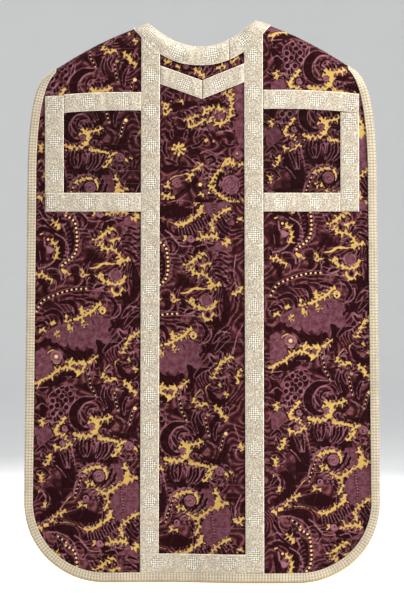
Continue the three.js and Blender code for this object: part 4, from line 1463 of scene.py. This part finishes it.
def fray(layers):
    """Breaks the ground up where tufts cross it, and lets specks of it show among them."""
    shape = layers["gold"].shape
    fine = 0.5 * grain(5, 2, shape) + 0.5 * grain(6, 3, shape)
    near = layers["gold"]
    for _ in range(16):
        near = soften(near)
    body = layers["gold"] * np.clip(2.2 * fine - 0.15, 0.0, 1.0)
    specks = np.where(fine > 0.60, np.clip(2.2 * near - 0.25, 0.0, 0.8), 0.0)
    layers["gold"] = np.maximum(body, specks * (1 - layers["loop"]))
    layers["loop"] = layers["loop"] * np.clip(1.6 * fine + 0.30, 0.0, 1.0)
    return layers


def design_at(across, down):
    """Each thread's cover at places in the bolt, in millimetres."""
    if not BOLTS:
        layers = fray(draw_bolt().layers)
        BOLTS["one"] = {name: soften(layer) for name, layer in layers.items()}
    x = np.clip(across - BOLT_LEFT, 0, BOLT_WIDE - 1.001)
    y = np.mod(down, REPEAT)
    i, j = x.astype(int), y.astype(int)
    u, v = x - i, y - j
    below, beside = (j + 1) % REPEAT, np.minimum(i + 1, BOLT_WIDE - 1)
    found = {}
    for name, layer in BOLTS["one"].items():
        found[name] = ((layer[j, i] * (1 - u) + layer[j, beside] * u) * (1 - v)
                       + (layer[below, i] * (1 - u) + layer[below, beside] * u) * v)
    return found


# ---- Velvets ----------------------------------------------------------------------------------

VELVET_SPACING = {"side": 0.00185, "centre": 0.0017, "arm": 0.0015, "front": 0.0023}
BOLT_SHIFT = {  # each cutting's place in the bolt: millimetres across and down
    "left": (342.4, -384.0),
    "centre": (163.3, -433.2),
    "right": (-119.3, -352.5),
    "left_arm": (360.1, 184.8),
    "right_arm": (-109.4, 204.4),
    "front_left": (-75.0, -150.0),
    "front_centre": (120.0, -200.0),
    "front_right": (300.0, -260.0),
}

HEAD_ENDS = -0.360  # height down to which the centre cutting shows the head's motifs
HEAD_SHIFT = (382.7, -128.1)  # the head's place in the bolt


def velvet(name, node, cutting, left, right, low, high, drop=None):
    """One cutting of velvet, with the design read from its place in the bolt."""
    r = RADII["velvet"]
    spacing = next(size for part, size in VELVET_SPACING.items() if part in node)
    if "front" in node:
        spacing = VELVET_SPACING["front"]
    mesh, u, v, x, run, columns, rows = patch(name, left, right, low, high, spacing)
    place_across, place_down = BOLT_SHIFT[cutting]
    height, across = flat_height(x, run), x
    if "front" in node:
        height, across = spring(x) - (run - math.pi * r), -x
    head = (height > HEAD_ENDS) & (cutting == "centre")
    threads = design_at(across / MM + np.where(head, HEAD_SHIFT[0], place_across),
                        -height / MM + np.where(head, HEAD_SHIFT[1], place_down))
    for thread, values in threads.items():
        write_attribute(mesh, thread, values)
    write_attribute(mesh, "fresh", np.full(x.size, 1.0 if "arm" in cutting else 0.0))
    relief = threads["pile"] * 0.6 + threads["loop"] * 0.45 + threads["bead"] * 0.7
    relief = relief - 0.5 * threads["gold"]
    place(mesh, hang(x, run, r, -0.0008 + relief * drape().pile * 0.5))
    write_uv(mesh, "Bolt", across + place_across * MM, -height + place_down * MM)
    area = sheet_area(columns, rows, u, v, x, run)
    if drop is not None:
        area -= drop[1]
    face_outwards(mesh, mesh.polygons[0])
    return finish_cloth(mesh, node, material("velvet"),
                        drop=drop[0] if drop else None)


def constant(value):
    return lambda run, x: np.full(np.shape(x), value)


def hem_run(z, front=False):
    """A straight hem at height z, as a run."""
    r = RADII["velvet"]
    return lambda x: front_run(x, z, r) if front else back_run(x, z, r)


def edge_of(sign, front, inset, lower=0.0):
    """x of a panel's left or right edge for a run: over the fold it passes to the front's."""
    edge_back = panel_edge(False, inset, lower)[:-FOOT_POINTS]
    edge_front = panel_edge(True, inset, lower)[:-FOOT_POINTS]

    def find(run, x):
        r = RADII["velvet"]
        angle = np.clip(run / r, 0, math.pi)
        z = (spring(x) + r * np.sin(angle) + np.minimum(run, 0)
             - np.maximum(run - math.pi * r, 0))
        back = np.interp(z, edge_back[::-1, 1], edge_back[::-1, 0])
        ahead = np.interp(z, edge_front[::-1, 1], edge_front[::-1, 0])
        return sign * np.where(run < math.pi * r / 2, back, ahead)
    return find


def seam_of(sign, inset):
    """x of the seam under a back pillar."""
    return lambda run, x: sign * (pillar_in(spring(x) + np.minimum(run, 0)) + WIDE / 2 + inset)


def shoulder_seam_run(r):
    c = cut()
    return lambda x: np.full(np.shape(x), math.pi * r + c.seam_drop - FOLD)


def back_velvets():
    r = RADII["velvet"]

    def top(x):
        return back_run(x, neckline(x), r)
    velvet("velvet_back_centre", "back_centre_velvet", "centre", seam_of(-1, 0), seam_of(1, 0),
           hem_run(BACK_HEM + MM), top)
    for sign, side in SIDES:
        inner = seam_of(sign, 0)
        outer = edge_of(sign, False, 0.001)
        left, right = (outer, inner) if sign < 0 else (inner, outer)
        velvet(f"velvet_back_side_{side}", f"back_side_velvet_{side}", side, left, right,
               hem_run(BACK_HEM + MM), shoulder_seam_run(r),
               drop=arm_field(sign))
        arm_in, arm_out = seam_of(sign, 0), constant(sign * (ARM_EDGE - WIDE / 2))
        left, right = (arm_out, arm_in) if sign < 0 else (arm_in, arm_out)
        velvet(f"velvet_back_arm_{side}", f"back_arm_velvet_{side}", f"{side}_arm", left, right,
               hem_run(ARM_LOW + WIDE / 2), arm_top_run(-WIDE / 2))


def arm_top(x):
    """Height of the upper arm band's top edge at x."""
    c = cut()
    start = PILLAR_IN_TOP + WIDE
    return -c.arm_depth - c.arm_sag * (np.abs(x) - start) / (ARM_EDGE - start)


def arm_top_run(extra):
    return lambda x: back_run(x, arm_top(x) + extra, RADII["velvet"])


def arm_field(sign):
    """Test for the faces that the arm's own velvet takes the place of, and their area."""
    low = ARM_LOW + WIDE / 2

    def inside(p):
        return (p.y < 0 and sign * p.x < ARM_EDGE - WIDE / 2 and p.z > low
                and p.z < float(arm_top(p.x)) - WIDE / 2)
    wide = ARM_EDGE - WIDE / 2 - (PILLAR_IN_TOP + WIDE / 2)
    tall = -cut().arm_depth - WIDE / 2 - low
    return inside, wide * tall


def front_velvets():
    r = RADII["velvet"]
    seam = FRONT_PILLAR_IN + WIDE / 2
    low = shoulder_seam_run(r)

    def neck_or_seam(x):
        return np.maximum(front_run(x, front_neckline(x), r), low(x))
    hem = hem_run(FRONT_HEM + MM, front=True)
    velvet("velvet_front_centre", "front_centre_velvet", "front_centre", constant(-seam),
           constant(seam), neck_or_seam, hem)
    for sign, side in SIDES:
        inner, outer = constant(sign * seam), edge_of(sign, True, 0.001)
        left, right = (outer, inner) if sign < 0 else (inner, outer)
        velvet(f"velvet_front_side_{side}", f"front_side_velvet_{side}", f"front_{side}",
               left, right, neck_or_seam, hem)


# ---- Linings and interlinings -----------------------------------------------------------------

def plain(name, node, finish, layer, front, inset, low_z, spacing, thickness):
    """A lining or an interlining over a whole panel, the back's running over the shoulders."""
    c = cut()
    r = RADII[layer]
    seam = shoulder_seam_run(r)
    lower = (FRONT_HEM if front else BACK_HEM) - low_z

    def neck(x):
        if front:
            return np.maximum(front_run(x, front_neckline(x, inset), r), seam(x))
        bare = np.abs(x) < c.neck_half + inset
        return np.where(bare, back_run(x, neckline(x, inset, inset), r), seam(x))
    if front:
        low, high = neck, (lambda x: front_run(x, low_z, r))
    else:
        low, high = (lambda x: back_run(x, low_z, r)), neck
    left, right = edge_of(-1, front, inset, lower), edge_of(1, front, inset, lower)
    radius = 0.0 if front else c.corner
    mesh, u, v, x, run, columns, rows = patch(name, left, right, low, high, spacing, radius)
    place(mesh, hang(x, run, r))
    height = flat_height(x, run)
    write_uv(mesh, "Bolt", x, -height)
    face_outwards(mesh, mesh.polygons[0])
    return finish_cloth(mesh, node, material(finish), thickness)


def linings():
    plain("lining_back", "back_lining", "lining", "lining", False, 0.0,
          BACK_LINING_HEM, 0.005, 0.0005)
    plain("lining_front", "front_lining", "lining", "lining", True, 0.0,
          FRONT_LINING_HEM, 0.005, 0.0005)


def interlinings():
    plain("interlining_back", "back_interlining", "linen", "interlining",
          False, 0.006, BACK_HEM + 0.006, 0.010, 0.0008)
    plain("interlining_front", "front_interlining", "linen", "interlining",
          True, 0.006, FRONT_HEM + 0.006, 0.010, 0.0008)


# ---- Galloons -----------------------------------------------------------------------------------

GALLOON_SPACING = 0.0032


def puckered(seed, strength=1.0):
    """Small crosswise puckers, drawn flat along the stitched selvedges."""
    def lift(at, v, cloth):
        height = drape().pucker * strength
        wander = (np.sin(at * 95 + seed) + 0.7 * np.sin(at * 163 + 2.3 * seed + 3 * v)
                  + 0.5 * np.sin(at * 301 + 1.7 * seed - 4 * v))
        crease = np.maximum(0, np.sin(at * 83 + 3.1 * seed + 1.5 * np.sin(at * 19))) ** 8
        middle = np.sin(np.pi * np.clip(v, 0, 1)) ** 0.6
        return height * middle * (0.5 + 0.22 * wander + 0.9 * crease)
    return lift


def galloon(name, node, inner, outer, width, seed, finish="galloon",
            strength=1.0):
    return strip(name, node, material(finish), inner, outer, RADII["galloon"],
                 GALLOON_SPACING, width, out=puckered(seed, strength))


def straight(a, b, front=False, count=40):
    """A straight edge between two points of the cut, as a path."""
    t = np.linspace(0, 1, count)
    return path(a[0] + (b[0] - a[0]) * t, a[1] + (b[1] - a[1]) * t, RADII["galloon"], front)


def tucked_top(x):
    """Where a pillar disappears under the neck galloon."""
    c = cut()
    return float(neckline(x, c.neck_flare, c.neck_braid, 2.3)) + 0.001


def back_pillars():
    for sign, side in SIDES:
        low = FOOT_LOW if sign > 0 else FOOT_LOW + WIDE
        inner_low, outer_low = pillar_in(low), pillar_in(low) + WIDE
        inner_top, outer_top = PILLAR_IN_TOP, PILLAR_IN_TOP + WIDE
        inner = straight((sign * inner_low, low), (sign * inner_top, tucked_top(inner_top)))
        outer = straight((sign * outer_low, low), (sign * outer_top, tucked_top(outer_top)))
        galloon(f"galloon_back_pillar_{side}", f"back_pillar_galloon_{side}", inner, outer, WIDE,
                3.0 + sign)


def back_foot():
    left, right = -(pillar_in(FOOT_LOW) + WIDE), pillar_in(FOOT_LOW + WIDE)
    galloon("galloon_back_foot", "back_foot_galloon",
            straight((left, FOOT_LOW), (right, FOOT_LOW)),
            straight((left, FOOT_LOW + WIDE), (right, FOOT_LOW + WIDE)), WIDE, 5.0)


def chevrons():
    c = cut()
    for sign, side in SIDES:
        end = pillar_in(-c.chevron_depth)
        start = 0.0004
        low = straight((sign * start, -c.chevron_depth - WIDE),
                       (sign * end, -c.chevron_depth - WIDE + c.chevron_rise))
        high = straight((sign * start, -c.chevron_depth),
                        (sign * end, -c.chevron_depth + c.chevron_rise))
        galloon(f"galloon_chevron_{side}", f"back_chevron_galloon_{side}", low, high, WIDE,
                7.0 + sign)


def arm_bands():
    for sign, side in SIDES:
        full, short = ARM_EDGE, ARM_EDGE - WIDE - 0.0003
        top_end = full if sign > 0 else short
        start = pillar_in(-cut().arm_depth) + WIDE
        t = np.linspace(start, top_end, 40)
        r = RADII["galloon"]
        bow = 0.003 * np.sin(np.pi * (t - start) / (full - start))
        galloon(f"galloon_arm_top_{side}", f"back_arm_top_galloon_{side}",
                path(sign * t, arm_top(t) + bow - WIDE, r), path(sign * t, arm_top(t) + bow, r),
                WIDE, 11.0 + sign)
        high = arm_top(np.array([full]))[0] - (WIDE + 0.0003 if sign > 0 else 0.0)
        high_in = arm_top(np.array([full - WIDE]))[0] - (WIDE + 0.0003 if sign > 0 else 0.0)
        low = ARM_LOW if sign > 0 else ARM_LOW + WIDE + 0.0003
        galloon(f"galloon_arm_side_{side}", f"back_arm_side_galloon_{side}",
                straight((sign * (full - WIDE), low), (sign * (full - WIDE), high_in)),
                straight((sign * full, low), (sign * full, high)), WIDE, 13.0 + sign)
        low_end = short if sign > 0 else full
        start = pillar_in(ARM_LOW) + WIDE
        galloon(f"galloon_arm_bottom_{side}", f"back_arm_bottom_galloon_{side}",
                straight((sign * start, ARM_LOW), (sign * low_end, ARM_LOW)),
                straight((sign * start, ARM_LOW + WIDE), (sign * low_end, ARM_LOW + WIDE)),
                WIDE, 17.0 + sign)


def neck_paths(start, r):
    """Inner and outer edge of half a neck galloon, from x = start out and over the fold."""
    c = cut()
    t = np.linspace(0, 1, 48)
    drop = np.linspace(0, c.seam_drop, 12)[1:]
    lean = front_lean()
    paths = []
    for wide, deep, power in ((0.0, 0.0, 2.0), (c.neck_flare, c.neck_braid, 2.3)):
        half = c.neck_half + wide
        x = start + (half - start) * t
        back = path(x, neckline(x, wide, deep, power), r)
        ahead = path(half - lean * drop, shoulder_line(half) - drop, r, front=True)
        paths.append(np.concatenate([back, ahead]))
    return paths


def neck_galloons():
    """Two lengths that meet in a small seam beside the centre line."""
    r = RADII["galloon"]
    for sign, side in SIDES:
        start = sign * cut().neck_join + 0.0001
        inner, outer = neck_paths(start, r)
        if sign < 0:
            inner, outer = mirrored(inner), mirrored(outer)
        strip(f"galloon_neck_{side}", f"back_neck_galloon_{side}",
              material("galloon"), inner, outer, r, GALLOON_SPACING, WIDE,
              out=puckered(2.0))


def front_galloons():
    c = cut()
    r = RADII["galloon"]
    p = FRONT_PILLAR_IN
    t = np.linspace(0, 1, 30)
    neck_floor = -c.front_neck
    foot = FRONT_FOOT_LOW
    for sign, side in SIDES:
        top = neck_floor - c.neck_braid * 0.98
        galloon(f"galloon_front_pillar_{side}", f"front_pillar_galloon_{side}",
                straight((sign * p, foot + WIDE), (sign * p, top), True),
                straight((sign * (p + WIDE), foot + WIDE), (sign * (p + WIDE), top), True),
                WIDE, 19.0 + sign)
        lean = front_lean()
        depth = c.seam_drop + (c.front_neck - c.seam_drop) * t
        drop_out = float(-shoulder_line(c.neck_half + c.neck_flare))
        inner = path(sign * (c.neck_half - lean * depth), -depth, r, True)
        outer_x = c.neck_half + c.neck_flare - lean * depth
        outer = path(sign * outer_x, -depth - drop_out * (1 - t), r, True)
        galloon(f"galloon_front_neck_{side}", f"front_neck_galloon_{side}", inner, outer,
                c.neck_flare, 23.0 + sign)
    half = c.front_neck_half + c.neck_flare
    galloon("galloon_front_neck_bottom", "front_neck_galloon_bottom",
            straight((-half, neck_floor), (half, neck_floor), True),
            straight((-half, neck_floor - c.neck_braid), (half, neck_floor - c.neck_braid), True),
            c.neck_braid, 29.0)
    half = p + WIDE
    galloon("galloon_front_foot", "front_foot_galloon",
            straight((-half, foot), (half, foot), True),
            straight((-half, foot + WIDE), (half, foot + WIDE), True), WIDE, 31.0)


def edge_paths(front, r):
    """Outer and inner edge of the narrow galloon round a panel, from seam to seam."""
    c = cut()
    paths = []
    for inset in (0.0, c.edge_braid):
        lap = panel_edge(True, inset)
        below_seam = lap[:, 1] < shoulder_line(lap[:, 0]) - c.seam_drop
        if front:
            half = path(*lap[below_seam].T, r, True)
        else:
            ahead = path(*lap[~below_seam].T, r, True)[::-1]
            half = np.concatenate([ahead, path(*panel_edge(False, inset).T, r)])
        paths.append(half)
    size = min(len(p) for p in paths)
    outer, inner = (p[-size:] for p in paths)
    outer = np.concatenate([outer, mirrored(outer[::-1])[1:]])
    inner = np.concatenate([inner, mirrored(inner[::-1])[1:]])
    return inner, outer


def edge_galloons():
    for front, side in ((False, "back"), (True, "front")):
        inner, outer = edge_paths(front, RADII["galloon"])
        galloon(f"galloon_edge_{side}", f"{side}_edge_galloon", inner, outer, cut().edge_braid,
                37.0, "edging", 0.7)


# ---- Operators, panel and stage -----------------------------------------------------------------

class CHASUBLE_OT_stage(bpy.types.Operator):
    """Sets the pale floor and backdrop, the soft lights and the camera"""

    bl_idname = "chasuble.stage"
    bl_label = "Stage"

    def execute(self, context):
        make_stage(context.scene)
        return {"FINISHED"}


def operator(word, label, doc, make):
    """An operator class for a piece or for a group of like pieces."""
    def execute(self, context):
        make()
        return {"FINISHED"}
    return type(f"CHASUBLE_OT_{word}", (bpy.types.Operator,), {
        "bl_idname": f"chasuble.{word}", "bl_label": label, "__doc__": doc, "execute": execute})


FLAT, SWEEP, WALL, FLOOR_GAP = 9.0, 4.0, 0.5, 0.12  # the cove, and its floor below the hem
SWEEP_STEPS, ROUND_STEPS = 16, 72
LAMPS = (  # name, place, side and power in watts
    ("key", (2.6, -1.6, 0.45), 1.5, 150.0),
    ("fill", (-1.9, -2.6, -0.4), 2.2, 3.0),
    ("top", (0.1, -0.35, 1.5), 1.0, 30.0),
    ("front key", (-2.0, 2.2, 0.5), 1.5, 80.0),
    ("front fill", (1.9, 2.4, -0.3), 2.2, 22.0),
)
SKY, SKY_STRENGTH = (0.90, 0.92, 0.95, 1), 0.72
LENS, SENSOR, VIEW_HEIGHT, EYE = 100.0, 36.0, 1.181, -0.5524


def make_floor(scene, height):
    """A round studio cove: a flat floor that sweeps up into a low wall on every side."""
    mesh = bpy.data.meshes.new("backdrop")
    bm = bmesh.new()
    turns = [math.pi / 2 * i / SWEEP_STEPS for i in range(SWEEP_STEPS + 1)]
    profile = [(0.0, 0.0)]
    profile += [(FLAT + SWEEP * math.sin(t), SWEEP * (1 - math.cos(t))) for t in turns]
    profile += [(FLAT + SWEEP, SWEEP + WALL)]
    verts = [bm.verts.new((x, 0, height + z)) for x, z in profile]
    edges = [bm.edges.new(pair) for pair in zip(verts, verts[1:])]
    bmesh.ops.spin(bm, geom=verts + edges, cent=(0, 0, 0), axis=(0, 0, 1), dvec=(0, 0, 0),
                   angle=2 * math.pi, steps=ROUND_STEPS, use_merge=True, use_duplicate=False)
    bmesh.ops.recalc_face_normals(bm, faces=bm.faces)
    if sum(f.normal.z * f.calc_area() for f in bm.faces) < 0:
        bmesh.ops.reverse_faces(bm, faces=bm.faces)
    bm.to_mesh(mesh)
    bm.free()
    mesh.shade_smooth()
    floor = bpy.data.objects.new("backdrop", mesh)
    scene.collection.objects.link(floor)
    paper = Shader("backdrop paper", Roughness=0.9)
    spots = paper.noise(paper.node("TexCoord").outputs["Object"], 3.0, 2.0)
    paper.set("Base Color", paper.mix(paper.ramp(spots, 0.3, 0.7), (0.85, 0.845, 0.83),
                                      (0.86, 0.855, 0.84)))
    mesh.materials.append(paper.material)


def make_lights(scene, aim):
    """Soft lamps on both sides of the garment, and even light from all round."""
    for name, where, size, watts in LAMPS:
        lamp = bpy.data.lights.new(name, "AREA")
        lamp.energy, lamp.size = watts, size
        holder = bpy.data.objects.new(name, lamp)
        holder.location = where
        holder.rotation_euler = (aim - Vector(where)).to_track_quat("-Z", "Y").to_euler()
        scene.collection.objects.link(holder)
    world = bpy.data.worlds.new("studio air")
    world.use_nodes = True
    background = world.node_tree.nodes["Background"]
    background.inputs["Color"].default_value = SKY
    background.inputs["Strength"].default_value = SKY_STRENGTH
    scene.world = world


def make_camera(scene):
    """Looks straight at the back from a long lens's distance."""
    camera = bpy.data.cameras.new("camera")
    camera.lens, camera.sensor_width = LENS, SENSOR
    holder = bpy.data.objects.new("camera", camera)
    holder.location = (0, -(VIEW_HEIGHT * LENS / SENSOR) - FOLD, EYE)
    holder.rotation_euler = (math.pi / 2, 0, 0)
    scene.collection.objects.link(holder)
    scene.camera = holder


def make_stage(scene):
    low, high = CAD_BOX
    make_floor(scene, low.z - FLOOR_GAP)
    make_lights(scene, Vector((0, 0, (low.z + high.z) / 2 + 0.15 * (high.z - low.z))))
    scene.view_settings.view_transform = "Standard"
    make_camera(scene)


STEPS = (
    ("linings", "Linings", "Makes the silk linings of both panels", linings),
    ("interlinings", "Interlinings", "Makes the linen inside both panels", interlinings),
    ("back_velvets", "Back velvets", "Makes the velvets of the back", back_velvets),
    ("front_velvets", "Front velvets", "Makes the velvets of the front", front_velvets),
    ("pillars", "Pillar galloons", "Makes the back's two pillar galloons", back_pillars),
    ("foot", "Foot galloon", "Makes the band between the pillars' feet", back_foot),
    ("chevrons", "Chevron galloons", "Makes the mitred chevron", chevrons),
    ("arms", "Arm galloons", "Makes the bands round the cross arms", arm_bands),
    ("neck", "Neck galloon", "Makes the galloon round the neck", neck_galloons),
    ("front_galloons", "Front galloons", "Makes the wide galloons of the front", front_galloons),
    ("edges", "Edge galloons", "Makes the narrow galloon round both panels", edge_galloons),
    ("stitching", "Stitching", "Makes the running stitches of the galloons", stitching),
)
OPERATORS = [CHASUBLE_OT_stage] + [operator(*step) for step in STEPS]


class CHASUBLE_PT_panel(bpy.types.Panel):
    """Lists the chasuble's operators"""

    bl_idname = "CHASUBLE_PT_panel"
    bl_label = "Chasuble"
    bl_space_type = "VIEW_3D"
    bl_region_type = "UI"
    bl_category = "Chasuble"

    def draw(self, context):
        for made in OPERATORS:
            self.layout.operator(made.bl_idname)


GROUPS = (("chasuble_cut", ChasubleCut), ("chasuble_drape", ChasubleDrape),
          ("chasuble_colours", ChasubleColours))


def register():
    for name, group in GROUPS:
        bpy.utils.register_class(group)
        setattr(bpy.types.Scene, name, bpy.props.PointerProperty(type=group))
    for made in OPERATORS:
        bpy.utils.register_class(made)
    bpy.utils.register_class(CHASUBLE_PT_panel)


def unregister():
    bpy.utils.unregister_class(CHASUBLE_PT_panel)
    for made in reversed(OPERATORS):
        bpy.utils.unregister_class(made)
    for name, group in reversed(GROUPS):
        delattr(bpy.types.Scene, name)
        bpy.utils.unregister_class(group)


def main():
    register()
    bpy.ops.chasuble.stage()
    for word, _, _, _ in STEPS:
        getattr(bpy.ops.chasuble, word)()


if __name__ == "__main__":
    main()
